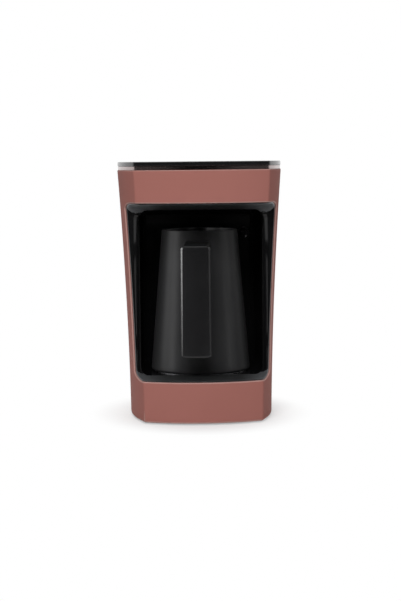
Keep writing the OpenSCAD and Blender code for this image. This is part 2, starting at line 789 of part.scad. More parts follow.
// A ring-shaped tube with a gap, each end closed by a ferrule with its cold pin
module heating_element() {
    r = element_d / 2;
    ferrule_d = element_tube_d + 1.2;
    color(steel) translate([0, 0, element_z]) rotate([0, 0, 90 + element_gap / 2]) {
        rotate_extrude(angle = 360 - element_gap) translate([r, 0]) circle(d = element_tube_d);
        for (a = [0, 360 - element_gap]) rotate([0, 0, a]) translate([r, 0, 0]) {
            translate([0, 0, -ferrule_d / 2]) cylinder(d = ferrule_d, h = (ferrule_d + element_tube_d) / 2);
            translate([0, 0, -cold_pin_l]) cylinder(d = pin_d, h = cold_pin_l);
        }
    }
}

// A sheet-metal strap under the plate, with a leg and a screw tab at each end
module heater_bracket() {
    leg_x = bracket_boss_x - boss_r - 2;
    tab_x = bracket_boss_x + boss_r;
    tab_z = bracket_boss_z - bracket_t;
    inner_x = leg_x - bracket_t;
    strap_top = strap_z + bracket_t;
    right = [
        [leg_x, strap_z], [leg_x, tab_z], [tab_x, tab_z],
        [tab_x, bracket_boss_z], [inner_x, bracket_boss_z], [inner_x, strap_top]
    ];
    profile = concat(right, [for (i = [len(right) - 1:-1:0]) [-right[i].x, right[i].y]]);
    color(steel) difference() {
        translate([0, bracket_w / 2, 0]) rotate([90, 0, 0]) linear_extrude(bracket_w) polygon(profile);
        translate([0, 0, strap_z - cut]) {
            cylinder(d = probe_stem_d + 2 * fit_gap, h = bracket_t + 2 * cut);
            in_pairs(stud_spacing / 2) cylinder(d = stud_d + 2 * fit_gap, h = bracket_t + 2 * cut);
        }
        translate([0, 0, tab_z - cut]) in_pairs(bracket_boss_x)
            cylinder(d = screw_hole_d, h = bracket_t + 2 * cut);
    }
}

module bracket_screws() {
    color(steel) translate([0, 0, bracket_boss_z - bracket_t]) in_pairs(bracket_boss_x)
        screw(bracket_t + thread_h);
}

module plate_nuts() {
    color(steel) translate([0, 0, strap_z - nut_h]) in_pairs(stud_spacing / 2) difference() {
        cylinder(d = nut_d, h = nut_h, $fn = 6);
        translate([0, 0, -cut]) cylinder(d = stud_d + 2 * snug_gap, h = nut_h + 2 * cut);
    }
}

module plate_sensor() {
    color(copper) union() {
        translate([0, 0, plate_bottom - probe_h]) cylinder(d = probe_d, h = probe_h);
        translate([0, 0, probe_z]) cylinder(d = probe_stem_d, h = plate_bottom - probe_z - cut);
    }
}

// The fuse lies in a saddle under the plate, halfway between the probe and the element
module thermal_fuse() {
    y = (probe_d / 2 + element_in_r) / 2;
    wire_end = 2;
    wire_l = 2 * (sqrt(pow(element_in_r, 2) - pow(y + fuse_wire_d, 2)) - wire_end);
    color(copper) translate([0, -y, plate_bottom]) {
        translate([-fuse_saddle.x / 2, -fuse_saddle.y / 2, -fuse_saddle.z]) cube(fuse_saddle);
        translate([0, 0, -fuse_saddle.z - fuse_d / 4]) rotate([0, 90, 0]) {
            cylinder(d = fuse_d, h = fuse_l, center = true);
            cylinder(d = fuse_wire_d, h = wire_l, center = true);
        }
    }
}

// ---- Overflow sensor in the back wall ----

module sensor_housing() {
    color(satin_black) on_sensor_axis() difference() {
        union() {
            translate([0, 0, -sensor_l]) cylinder(d = sensor_d, h = sensor_l + sensor_rise);
            translate([0, 0, -liner_wall - sensor_flange_t - snug_gap])
                cylinder(d = sensor_flange_d, h = sensor_flange_t);
        }
        translate([0, 0, -sensor_l - cut]) cylinder(d = sensor_bore_d, h = sensor_l + sensor_rise + 2 * cut);
    }
}

module sensor_lens() {
    lens_d = sensor_bore_d - 2 * snug_gap;
    dome_r = (pow(sensor_bore_d / 2, 2) + lens_dome * lens_dome) / (2 * lens_dome);
    color(gloss_black) on_sensor_axis() translate([0, 0, sensor_rise - lens_rise]) intersection() {
        translate([0, 0, lens_dome - dome_r]) sphere(r = dome_r, $fn = 96);
        translate([0, 0, -lens_edge]) cylinder(d = lens_d, h = lens_edge + 2 * lens_dome);
    }
}

module sensor_board() {
    size = sensor_board_size;
    color(board_green) on_sensor_axis()
        translate([-sensor_half, -size.y / 2, -sensor_l - size.z]) cube(size);
}

// ---- Ring, cover and button ----

module trim_ring() {
    color(steel) difference() {
        union() {
            translate([0, 0, shell_top]) linear_extrude(ring_h) polygon(plan_loop(shell_top, ring_recess));
            translate([0, 0, skirt_z]) linear_extrude(skirt_h) polygon(plan_loop(skirt_z, ring_skirt_inset));
        }
        translate([0, 0, skirt_z - cut]) linear_extrude(ring_h + skirt_h + 2 * cut)
            polygon(plan_loop(skirt_z, ring_skirt_inset + skirt_t));
    }
}

// A tongue on the cover's skirt whose hook catches under the sleeve's ledge
module snap_clip() {
    x = half_w(skirt_z) - cover_skirt_inset - skirt_t;
    low = hook_top - ledge_t;
    translate([x, -clip_w / 2, low]) cube([skirt_t, clip_w, skirt_z + cut - low]);
    translate([x, -clip_w / 2, low]) cube([skirt_t + clip_hook, clip_w, ledge_t]);
}

module top_cover() {
    under_edge = 0.4;
    edge = [for (k = [0:edge_steps])
        let (a = 90 * k / edge_steps, inset = cover_recess + cover_edge_r * (1 - cos(a)))
        lifted(shell_top, inset, total_h - cover_edge_r * (1 - sin(a)))];
    plate = concat([
        lifted(shell_top, cover_recess + under_edge, cover_z),
        lifted(shell_top, cover_recess, cover_z + under_edge)
    ], edge);
    color(gloss_black) difference() {
        union() {
            loft(plate);
            translate([0, 0, skirt_z]) linear_extrude(cover_z - skirt_z + cut) difference() {
                polygon(plan_loop(skirt_z, cover_skirt_inset));
                polygon(plan_loop(skirt_z, cover_skirt_inset + skirt_t));
            }
            translate([0, 0, board_top]) at_pillars() cylinder(r = boss_r, h = cover_z - board_top + cut);
            for (a = [0, 180]) rotate([0, 0, a]) snap_clip();
        }
        on_button_axis() translate([0, 0, cover_z - cut])
            cylinder(d = light_out_d + 2 * snug_gap, h = cover_h + 2 * cut);
        translate([0, 0, board_top - cut]) at_pillars() cylinder(d = screw_bore_d, h = cut + pillar_bore_h);
    }
}

module button_light_ring() {
    rod_z = board_top + led_h + switch_gap;
    color(off_white) on_button_axis() union() {
        difference() {
            union() {
                translate([0, 0, cover_z]) cylinder(d = light_out_d, h = cover_h);
                translate([0, 0, cover_z - light_flange_t]) cylinder(d = light_flange_d, h = light_flange_t);
            }
            translate([0, 0, cover_z - light_flange_t - cut])
                cylinder(d = light_in_d, h = cover_h + light_flange_t + 2 * cut);
        }
        translate([0, 0, rod_z]) in_pairs(guide_rod_x)
            cylinder(d = guide_rod_d, h = cover_z - light_flange_t / 2 - rod_z);
    }
}

module button_cup() {
    color(satin_black) on_button_axis() difference() {
        union() {
            difference() {
                translate([0, 0, cup_z]) cylinder(d = cup_in_d + 2 * cup_wall, h = cup_h);
                translate([0, 0, cup_z + cup_floor_t]) cylinder(d = cup_in_d, h = cup_h);
            }
            translate([0, 0, cup_z]) cylinder(d = stem_d + 4, h = cup_floor_t + collar_h);
        }
        translate([0, 0, cup_z - cut]) {
            cylinder(d = stem_d + 2 * snug_gap, h = cup_floor_t + collar_h + 2 * cut);
            in_pairs(guide_rod_x) cylinder(d = guide_rod_d + 2 * snug_gap, h = cup_floor_t + 2 * cut);
        }
    }
}

module start_button() {
    cap_r = button_d / 2;
    under = cap_top - cap_wall;
    flange_top = cap_flange_z + cap_flange_t;
    color(gloss_black) on_button_axis() rotate_extrude() polygon([
        [0, stem_end], [stem_d / 2, stem_end], [stem_d / 2, under], [cap_r - cap_wall, under],
        [cap_r - cap_wall, cap_flange_z], [cap_flange_r, cap_flange_z], [cap_flange_r, flange_top],
        [cap_r, flange_top], [cap_r, cap_top - cap_edge], [cap_r - cap_edge, cap_top], [0, cap_top]
    ]);
}

// The spring's first and last turns lie nearly flat, as on a spring with closed ends
module button_spring() {
    low = cup_z + cup_floor_t + spring_wire_d / 2;
    high = cap_top - cap_wall - spring_wire_d / 2;
    closed = 1.15 * spring_wire_d;
    pitch = (high - low - 2 * closed) / spring_turns;
    turns = spring_turns + 2;
    height_at = function(t) t < 1 ? closed * t : t > turns - 1 ? high - low - closed * (turns - t)
        : closed + pitch * (t - 1);
    points = [for (i = [0:turns * coil_steps]) let (t = i / coil_steps, a = 360 * t)
        [spring_r * cos(a), spring_r * sin(a), low + height_at(t)]];
    color(steel) on_button_axis() tube_path(points, spring_wire_d, [0, 1, 0], [0, 1, 0], 6);
}

// ---- Electronics ----

module control_board() {
    color(board_green) difference() {
        translate([-board_w / 2, board_y - board_l / 2, board_under]) cube([board_w, board_l, board_t]);
        translate([0, 0, board_under - cut]) at_pillars() cylinder(d = screw_hole_d, h = board_t + 2 * cut);
    }
}

module board_screws() {
    color(steel) translate([0, 0, board_under]) at_pillars() screw(board_t + pillar_bore_h - cut);
}

// Places a component of the given height under the board
module under_board(at, h) {
    translate([at.x, at.y, board_under - h]) children();
}

module relay() {
    color("#2b4fa0") under_board(relay_at, relay_size.z)
        translate([-relay_size.x / 2, -relay_size.y / 2, 0]) cube(relay_size);
}

module transformer() {
    color("#6b5a3a") under_board(transformer_at, transformer_core.z / 2) {
        cube(transformer_core, center = true);
        cube(transformer_coil, center = true);
    }
}

module capacitor() {
    color("#30343c") under_board(capacitor_at, capacitor_h) cylinder(d = capacitor_d, h = capacitor_h);
}

module buzzer() {
    color(satin_black) under_board(buzzer_at, buzzer_h) difference() {
        cylinder(d = buzzer_d, h = buzzer_h);
        translate([0, 0, -cut]) cylinder(d = buzzer_d / 6, h = buzzer_h / 2 + cut);
    }
}

module tact_switch() {
    color(satin_black) on_button_axis() translate([0, 0, board_top]) {
        translate([-switch_body.x / 2, -switch_body.y / 2, 0]) cube(switch_body);
        cylinder(d = switch_body.x / 2, h = switch_h);
    }
}

module status_leds() {
    color(off_white) on_button_axis() translate([0, 0, board_top]) in_pairs(guide_rod_x)
        cylinder(d = led_d, h = led_h);
}

module terminal_block() {
    wire_hole_d = 4;
    color(off_white) translate([0, terminal_y, base_top]) difference() {
        translate([-terminal_size.x / 2, -terminal_size.y / 2, 0]) cube(terminal_size);
        in_pairs(terminal_pitch / 2) {
            translate([0, 0, terminal_size.z - terminal_depth])
                cylinder(d = wire_hole_d, h = terminal_depth + cut);
            translate([0, terminal_size.y / 4, terminal_size.z / 3]) rotate([-90, 0, 0])
                cylinder(d = wire_hole_d, h = terminal_size.y / 4 + cut);
        }
    }
}

module supply_leads() {
    color(copper) lead(supply_route);
    color(copper) lead(mirrored(supply_route));
}

module heater_leads() {
    color(sleeving) lead(heater_route);
    color(sleeving) lead(mirrored(heater_route));
}

module sensor_leads() {
    color(sleeving) lead(probe_route);
    color(sleeving) lead(overflow_route);
}

// ---- Base ----

module vent_slot() {
    in_pairs((vent_l - vent_w) / 2) cylinder(d = vent_w, h = base_t + 2 * cut);
    translate([-(vent_l - vent_w) / 2, -vent_w / 2, 0]) cube([vent_l - vent_w, vent_w, base_t + 2 * cut]);
}

module base_plate() {
    tab_y = half_d(base_z) - shell_wall;
    color(satin_black) difference() {
        union() {
            translate([0, 0, base_z]) linear_extrude(base_t)
                polygon(plan_loop(base_z, shell_wall + fit_gap));
            translate([0, 0, base_z]) at_liner_posts() cylinder(r = post_r, h = liner_boss_z - base_z);
            // The tab that closes the sleeve's notch under the gland
            translate([-gland_neck / 2, tab_y - cut, base_z]) cube([gland_neck, 2 * cut, base_t]);
            translate([-gland_neck / 2, tab_y, base_z])
                cube([gland_neck, shell_wall - fit_gap, cord_hole_z - gland_neck / 2 - base_z]);
        }
        translate([0, 0, base_z - cut]) {
            at_liner_posts() {
                cylinder(r = post_bore_r, h = liner_boss_z - post_shoulder - base_z + cut);
                cylinder(d = screw_hole_d, h = liner_boss_z - base_z + 2 * cut);
            }
            at_corners(foot_x, foot_y) cylinder(d = foot_stem_d + 2 * snug_gap, h = base_t + 2 * cut);
            at_sleeve_bosses() cylinder(d = screw_hole_d, h = base_t + 2 * cut);
            for (k = [0:vent_count - 1])
                translate([0, (k - (vent_count - 1) / 2) * vent_pitch, 0]) vent_slot();
        }
    }
}

// A rubber foot whose stem is pressed through the base plate
module foot(sx, sy) {
    r = foot_d / 2;
    stem_r = foot_stem_d / 2;
    color(rubber) translate([sx * foot_x, sy * foot_y, 0]) rotate_extrude() polygon([
        [0, 0], [r - foot_edge, 0], [r, foot_edge], [r, base_z], [stem_r, base_z], [stem_r, base_top],
        [stem_r + foot_bulb, base_top], [stem_r, base_top + 2 * foot_bulb], [0, base_top + 2 * foot_bulb]
    ]);
}

module base_screws() {
    color(steel) translate([0, 0, base_z]) at_sleeve_bosses() screw(base_t + thread_h + 2);
}

module liner_screws() {
    color(steel) translate([0, 0, liner_boss_z - post_shoulder]) at_liner_posts()
        screw(post_shoulder + thread_h);
}

// Round flanges inside and outside the sleeve, with a square neck in the sleeve's notch
module cable_gland() {
    outside = half_d(cord_hole_z + gland_flange_d / 2) + 2 * snug_gap;
    inside = half_d(cord_hole_z - gland_flange_d / 2) - shell_wall - 0.4;
    lip = 2;
    nose_d = gland_flange_d - 2;
    color(rubber) translate([0, 0, cord_hole_z]) difference() {
        union() {
            rotate([-90, 0, 0]) {
                translate([0, 0, inside - lip]) cylinder(d = gland_flange_d, h = lip);
                translate([0, 0, outside]) cylinder(d1 = gland_flange_d, d2 = nose_d, h = gland_nose);
            }
            translate([-gland_neck / 2, inside - lip, -gland_neck / 2])
                cube([gland_neck, outside - inside + lip + cut, gland_neck]);
        }
        translate([0, inside - lip - cut, 0]) rotate([-90, 0, 0])
            cylinder(d = cord_hole_d, h = outside - inside + lip + gland_nose + 2 * cut);
    }
}

// ---- Pot and handle ----

// Radius of the pot's outside at height h above its base
function cone_r(h) = base_r + (rim_r - base_r) * h / pot_h;

// The pot's own frame: its base at z = 0, turned a little on its plate
module pot_frame() {
    translate([0, 0, pot_z]) rotate([0, 0, -pot_turn]) children();
}
// Places its children on the axis of one of the handle's screws, +Z pointing forwards
module arm_axis(z) {
    translate([0, 0, z]) rotate([90, 0, 0]) children();
}
// The pouring lip's body, which starts inside the pot's wall and leans out to the rim
module pouring_lip(r, above) {
    low = pot_h - spout_h;
    hull() {
        translate([0, rim_r - spout_r + spout_reach, pot_h - 1]) cylinder(r = r, h = 1 + above, $fn = 32);
        translate([0, cone_r(low) - spout_r - pot_wall / 2, low]) cylinder(r = r, h = 1, $fn = 32);
    }
}

module pot_body() {
    edge_z = disc_edge + pot_edge_r;
    edge_r = cone_r(edge_z) - pot_edge_r;
    edge = [for (a = [0:22.5:90]) [edge_r + pot_edge_r * sin(a), edge_z - pot_edge_r * cos(a)]];
    color(satin_black) pot_frame() difference() {
        union() {
            rotate_extrude($fn = pot_steps) polygon(concat(
                [[disc_r, disc_edge]], edge,
                [[cone_r(pot_h - rim_edge), pot_h - rim_edge], [rim_r - rim_edge, pot_h], [0, pot_h]],
                [[0, pot_disc_t], [disc_r, pot_disc_t]]));
            pouring_lip(spout_r, 0);
            for (z = arm_heights) arm_axis(z) cylinder(r = arm_boss_r, h = cone_r(z) + arm_boss_l);
        }
        translate([0, 0, pot_disc_t]) cylinder(r1 = cone_r(pot_disc_t) - pot_wall,
            r2 = cone_r(pot_h + cut) - pot_wall, h = pot_h - pot_disc_t + cut, $fn = pot_steps);
        pouring_lip(spout_r - pot_wall, cut);
        for (z = arm_heights) arm_axis(z) translate([0, 0, cone_r(z)])
            cylinder(d = screw_bore_d, h = arm_boss_l + cut);
    }
}

module pot_base() {
    color(steel) pot_frame() cylinder(r = disc_r - snug_gap, h = pot_disc_t);
}

// The strap's plan at height z: bowed front, bevelled edges, flat back
function strap_section(w, front, z) =
    let (
        half = w / 2 - strip_bevel,
        bow_y = function(x) strip_bow - front - sqrt(strip_bow * strip_bow - x * x)
    ) concat(
        [for (k = [-4:4]) let (x = half * k / 4) [x, bow_y(x), z]],
        [[w / 2, bow_y(half) + strip_bevel, z], [w / 2, -core_front, z]],
        [[-w / 2, -core_front, z], [-w / 2, bow_y(half) + strip_bevel, z]]
    );

module handle_cover() {
    end = strip_bevel / 2;
    color(gloss_black) pot_frame() loft([
        strap_section(handle_bottom_w - 2 * end, handle_reach - end / 2, handle_lift),
        strap_section(handle_bottom_w, handle_reach, handle_lift + end),
        strap_section(handle_top_w, handle_reach, handle_top - end),
        strap_section(handle_top_w - 2 * end, handle_reach - end / 2, handle_top)
    ]);
}

module handle_core() {
    inner = cone_r(handle_top) - 4;
    window_low = handle_lift + lower_arm_h;
    window_high = handle_top - upper_arm_h;
    color(satin_black) pot_frame() difference() {
        translate([-core_w / 2, 0, 0]) rotate([90, 0, 90]) linear_extrude(core_w) difference() {
            polygon([
                [-core_front, handle_lift], [-inner, handle_lift],
                [-inner, handle_top + arm_slope / 2], [-core_front, handle_top]
            ]);
            offset(r = window_r) offset(delta = -window_r) polygon([
                [-grip_back, window_low], [0, window_low],
                [0, window_high + arm_slope], [-grip_back, window_high - arm_slope / 2]
            ]);
        }
        cylinder(r1 = base_r + snug_gap, r2 = rim_r + snug_gap, h = pot_h, $fn = pot_steps);
        for (z = arm_heights) arm_axis(z) {
            cylinder(r = arm_boss_r + snug_gap, h = cone_r(z) + arm_boss_l + fit_gap);
            cylinder(d = screw_hole_d, h = handle_reach);
            translate([0, 0, screw_seat]) cylinder(r = screw_head_d / 2 + fit_gap, h = handle_reach);
        }
    }
}

module handle_screws() {
    color(steel) pot_frame() for (z = arm_heights)
        arm_axis(z) translate([0, 0, screw_seat]) rotate([180, 0, 0]) screw(screw_seat - cone_r(z) - cut);
}

body_shell();
front_bezel();
cavity_liner();
trim_ring();
top_cover();
hot_plate();
plate_seal();
heating_element();
heater_bracket();
bracket_screws();
plate_nuts();
plate_sensor();
thermal_fuse();
sensor_housing();
sensor_lens();
sensor_board();
control_board();
board_screws();
relay();
transformer();
capacitor();
buzzer();
tact_switch();
status_leds();
button_cup();
start_button();
button_spring();
button_light_ring();
base_plate();
foot(-1, -1);  // foot_front_left
foot(1, -1);  // foot_front_right
foot(-1, 1);  // foot_rear_left
foot(1, 1);  // foot_rear_right
base_screws();
liner_screws();
cable_gland();
terminal_block();
supply_leads();
heater_leads();
sensor_leads();
pot_body();
pot_base();
handle_core();
handle_cover();
handle_screws();
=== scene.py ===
"""Looks of an electric Turkish coffee maker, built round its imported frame."""

import json
import logging
import math
from dataclasses import dataclass, field
from enum import Enum, auto
from functools import cached_property
from typing import Callable, Sequence

import bmesh
import bpy
from mathutils import Matrix, Vector

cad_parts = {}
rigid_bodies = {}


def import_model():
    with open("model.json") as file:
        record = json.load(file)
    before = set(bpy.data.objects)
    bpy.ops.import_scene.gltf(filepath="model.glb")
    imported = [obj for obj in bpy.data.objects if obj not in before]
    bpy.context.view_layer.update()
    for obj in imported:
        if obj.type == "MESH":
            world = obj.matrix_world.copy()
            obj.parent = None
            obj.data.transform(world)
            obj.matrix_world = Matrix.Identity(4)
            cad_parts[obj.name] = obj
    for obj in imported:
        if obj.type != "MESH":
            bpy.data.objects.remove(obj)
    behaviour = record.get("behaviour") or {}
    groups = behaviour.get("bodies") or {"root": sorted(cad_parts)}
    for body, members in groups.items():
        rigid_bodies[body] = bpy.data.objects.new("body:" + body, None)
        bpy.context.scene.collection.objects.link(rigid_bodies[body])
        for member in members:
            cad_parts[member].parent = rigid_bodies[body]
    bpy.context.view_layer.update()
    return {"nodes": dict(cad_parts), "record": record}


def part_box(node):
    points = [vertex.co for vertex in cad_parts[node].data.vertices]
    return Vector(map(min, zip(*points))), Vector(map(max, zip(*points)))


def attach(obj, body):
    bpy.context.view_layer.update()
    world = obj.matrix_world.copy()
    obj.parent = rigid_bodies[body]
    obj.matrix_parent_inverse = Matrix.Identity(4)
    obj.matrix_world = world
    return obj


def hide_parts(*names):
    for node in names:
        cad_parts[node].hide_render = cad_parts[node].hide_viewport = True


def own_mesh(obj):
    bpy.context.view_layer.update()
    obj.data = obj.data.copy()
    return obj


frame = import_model()

LOG = logging.getLogger("coffee_maker")
MM = 0.001
EDGE_MARK = "outer_edge"
NEAR = 1e-6
UP = (0, 0, 1)
WHITE = (1, 1, 1, 1)
SOFT = "SMOOTHSTEP"
NOISE_SPAN = (0.3, 0.7)
NOISE_ROUGHNESS = 0.55
COAT_ROUGHNESS = 0.05

Point2 = tuple[float, float]
Point3 = tuple[float, float, float]
Rgb = tuple[int, int, int]
Colour = tuple[float, float, float, float]
Vert = bmesh.types.BMVert
Edge = bmesh.types.BMEdge
Socket = bpy.types.NodeSocket


# ------------------------------------------------------------------- geometry


def lerp(a: float, b: float, t: float) -> float:
    """A value between a and b."""
    return a + (b - a) * t


def between(a: float, b: float, steps: int, first: int = 1) -> list[float]:
    """Evenly spaced values from a to b, with a itself only if first is 0."""
    return [lerp(a, b, k / steps) for k in range(first, steps + 1)]


def smoothstep(t: float) -> float:
    """Eases a value from 0 to 1 with level ends."""
    t = min(max(t, 0.0), 1.0)
    return t * t * (3 - 2 * t)


def rounding(steps: int, first: int = 0) -> list[Point2]:
    """Shares 1 - cos and 1 - sin of a rounding's radius, over a quarter turn."""
    turns = between(0.0, math.pi / 2, steps, first)
    return [(1 - math.cos(a), 1 - math.sin(a)) for a in turns]


def arc(centre: Point2, radius: Point2, start: float, end: float, steps: int) -> list[Point2]:
    """Points along a round or oval arc, without its first one.

    Args:
        centre: The arc's centre.
        radius: Its two half widths.
        start: Angle where it starts, in degrees.
        end: Angle where it ends, in degrees.
        steps: Number of points.

    Returns:
        The points in order.
    """
    turns = [math.radians(a) for a in between(start, end, steps)]
    return [(centre[0] + radius[0] * math.cos(a), centre[1] + radius[1] * math.sin(a)) for a in turns]


def mirror(right: Sequence[tuple]) -> list[tuple]:
    """Closes the right half of an outline with its mirror image."""
    return [*right, *((-point[0], *point[1:]) for point in right[-2:0:-1])]


def around(azimuth: float, distance: float, z: float) -> Point3:
    """A point round the object's axis, from the front at 0 degrees to the right at 90."""
    a = math.radians(azimuth)
    return distance * math.sin(a), -distance * math.cos(a), z


def add_object(name: str, data: bpy.types.ID) -> bpy.types.Object:
    """Adds an object to the scene.

    Args:
        name: Its name.
        data: Its mesh, lamp or camera.

    Returns:
        The object.
    """
    obj = bpy.data.objects.new(name, data)
    bpy.context.scene.collection.objects.link(obj)
    return obj


@dataclass
class Skin:
    """A mesh in the making, built from chains of edges.

    Vertices that are touching are merged. An outer edge's mark starts at mark_least degrees
    between its faces and is full at mark_full.
    """

    bm: bmesh.types.BMesh = field(default_factory=bmesh.new)
    touching: float = 0.002 * MM
    mark_least: float = 15.0
    mark_full: float = 21.0

    def edges(self, verts: Sequence[Vert], closed: bool = True) -> list[Edge]:
        """The edges that join each vertex of a chain to the next."""
        others = [*verts[1:], verts[0]] if closed else verts[1:]
        return [self.bm.edges.get(pair) for pair in zip(verts, others)]

    def ring(self, points: Sequence[Vector]) -> list[Vert]:
        """Makes a closed ring of edges.

        Args:
            points: The ring's points in order.

        Returns:
            The ring's vertices in order.
        """
        circle = bmesh.ops.create_circle(self.bm, cap_ends=False, segments=len(points), radius=1.0)
        for vert, point in zip(circle["verts"], points):
            vert.co = point
        return list(circle["verts"])

    def extrude(
        self, verts: Sequence[Vert], points: Sequence[Vector], closed: bool = True,
    ) -> list[Vert]:
        """Extrudes a chain of edges and moves the new chain onto the points.

        Args:
            verts: The chain's vertices in order.
            points: Where the new vertices go, in the same order.
            closed: True for a ring, False for an open chain.

        Returns:
            The new vertices in the chain's order.
        """
        made = bmesh.ops.extrude_edge_only(self.bm, edges=self.edges(verts, closed))["geom"]
        fresh = {v for v in made if isinstance(v, Vert)}
        new = [next(e.other_vert(v) for e in v.link_edges if e.other_vert(v) in fresh) for v in verts]
        for vert, point in zip(new, points):
            vert.co = point
        return new

    def loft(self, rings: Sequence[Sequence[Vector]], capped: bool = False) -> None:
        """Makes a clean skin through a row of closed rings.

        Args:
            rings: The rings' points, each ring with the same number of them.
            capped: True if the first and the last ring are closed.
        """
        first = last = self.ring(rings[0])
        for points in rings[1:]:
            last = self.extrude(last, points)
        if capped:
            self.cap(first)
            self.cap(last)
        self.clean()

    def cap(self, verts: Sequence[Vert]) -> None:
        """Closes a ring with one face."""
        bmesh.ops.contextual_create(self.bm, geom=[*verts, *self.edges(verts)])

    def spin(self, points: Sequence[Point3], angle: float, steps: int, closed: bool) -> None:
        """Spins a line round the upright axis.

        Args:
            points: The line's points in order.
            angle: How far it is spun.
            steps: Number of steps.
            closed: True for a closed line that is spun full circle.
        """
        verts = [self.bm.verts.new(point) for point in points]
        for pair in zip(verts, verts[1:] + verts[:1] if closed else verts[1:]):
            self.bm.edges.new(pair)
        bmesh.ops.spin(
            self.bm, geom=verts + self.bm.edges[:], cent=(0, 0, 0), axis=UP, angle=angle,
            steps=steps, use_merge=closed, use_duplicate=False)

    def clean(self) -> None:
        """Merges doubles, takes out slivers and points every face outwards."""
        bm = self.bm
        bmesh.ops.remove_doubles(bm, verts=bm.verts[:], dist=self.touching)
        bmesh.ops.dissolve_degenerate(bm, edges=bm.edges[:], dist=self.touching)
        bmesh.ops.recalc_face_normals(bm, faces=bm.faces[:])

    def round_edges(
        self, width: float, segments: int, angle: float,
        where: Callable[[Edge], bool] = lambda edge: True,
    ) -> None:
        """Rounds the edges that are sharper than an angle.

        Args:
            width: Width of the rounding.
            segments: Steps across the rounding.
            angle: Smallest angle between the faces of a rounded edge, in degrees.
            where: Says which of those edges are rounded.
        """
        limit = math.radians(angle)
        sharp = [
            e for e in self.bm.edges if e.is_manifold and e.calc_face_angle(0.0) > limit and where(e)]
        bmesh.ops.bevel(
            self.bm, geom=sharp, offset=width, offset_type="OFFSET", segments=segments,
            profile=0.5, affect="EDGES", material=-1, clamp_overlap=True)

    def mark_edges(self) -> None:
        """Marks how far each vertex lies on an outer edge, for the edge wear and painted edge highlight
        of its finish.
        """
        layer = self.bm.verts.layers.float.new(EDGE_MARK)
        for edge in (e for e in self.bm.edges if e.is_manifold and e.is_convex):
            turn = math.degrees(edge.calc_face_angle(0.0))
            share = (turn - self.mark_least) / (self.mark_full - self.mark_least)
            for vert in edge.verts:
                vert[layer] = max(vert[layer], min(max(share, 0.0), 1.0))

    def to_object(self, name: str) -> bpy.types.Object:
        """Puts the finished mesh into the scene.

        Args:
            name: The object's name.

        Returns:
            The object.
        """
        mesh = bpy.data.meshes.new(name)
        self.bm.to_mesh(mesh)
        self.bm.free()
        return add_object(name, mesh)


# ------------------------------------------------------------------- finishes


class Texture(Enum):
    """The relief that a finish shows."""

    ORANGE_PEEL = auto()
    FINE_GRAIN = auto()
    BRUSHED = auto()
    TURNED = auto()
    SPECKLED = auto()
    RIBBED = auto()
    BRAIDED = auto()
    TRACKS = auto()
    POLISHED = auto()


OCTAVES = {
    Texture.POLISHED: 1.0, Texture.ORANGE_PEEL: 1.5, Texture.BRUSHED: 3.0, Texture.FINE_GRAIN: 4.0,
}


def linear(colour: Rgb) -> Colour:
    """Turns a display colour, from 0 to 255, into the linear colour that a shader takes."""
    shares = [value / 255 for value in colour]
    return (*(c / 12.92 if c <= 0.04045 else ((c + 0.055) / 1.055) ** 2.4 for c in shares), 1.0)


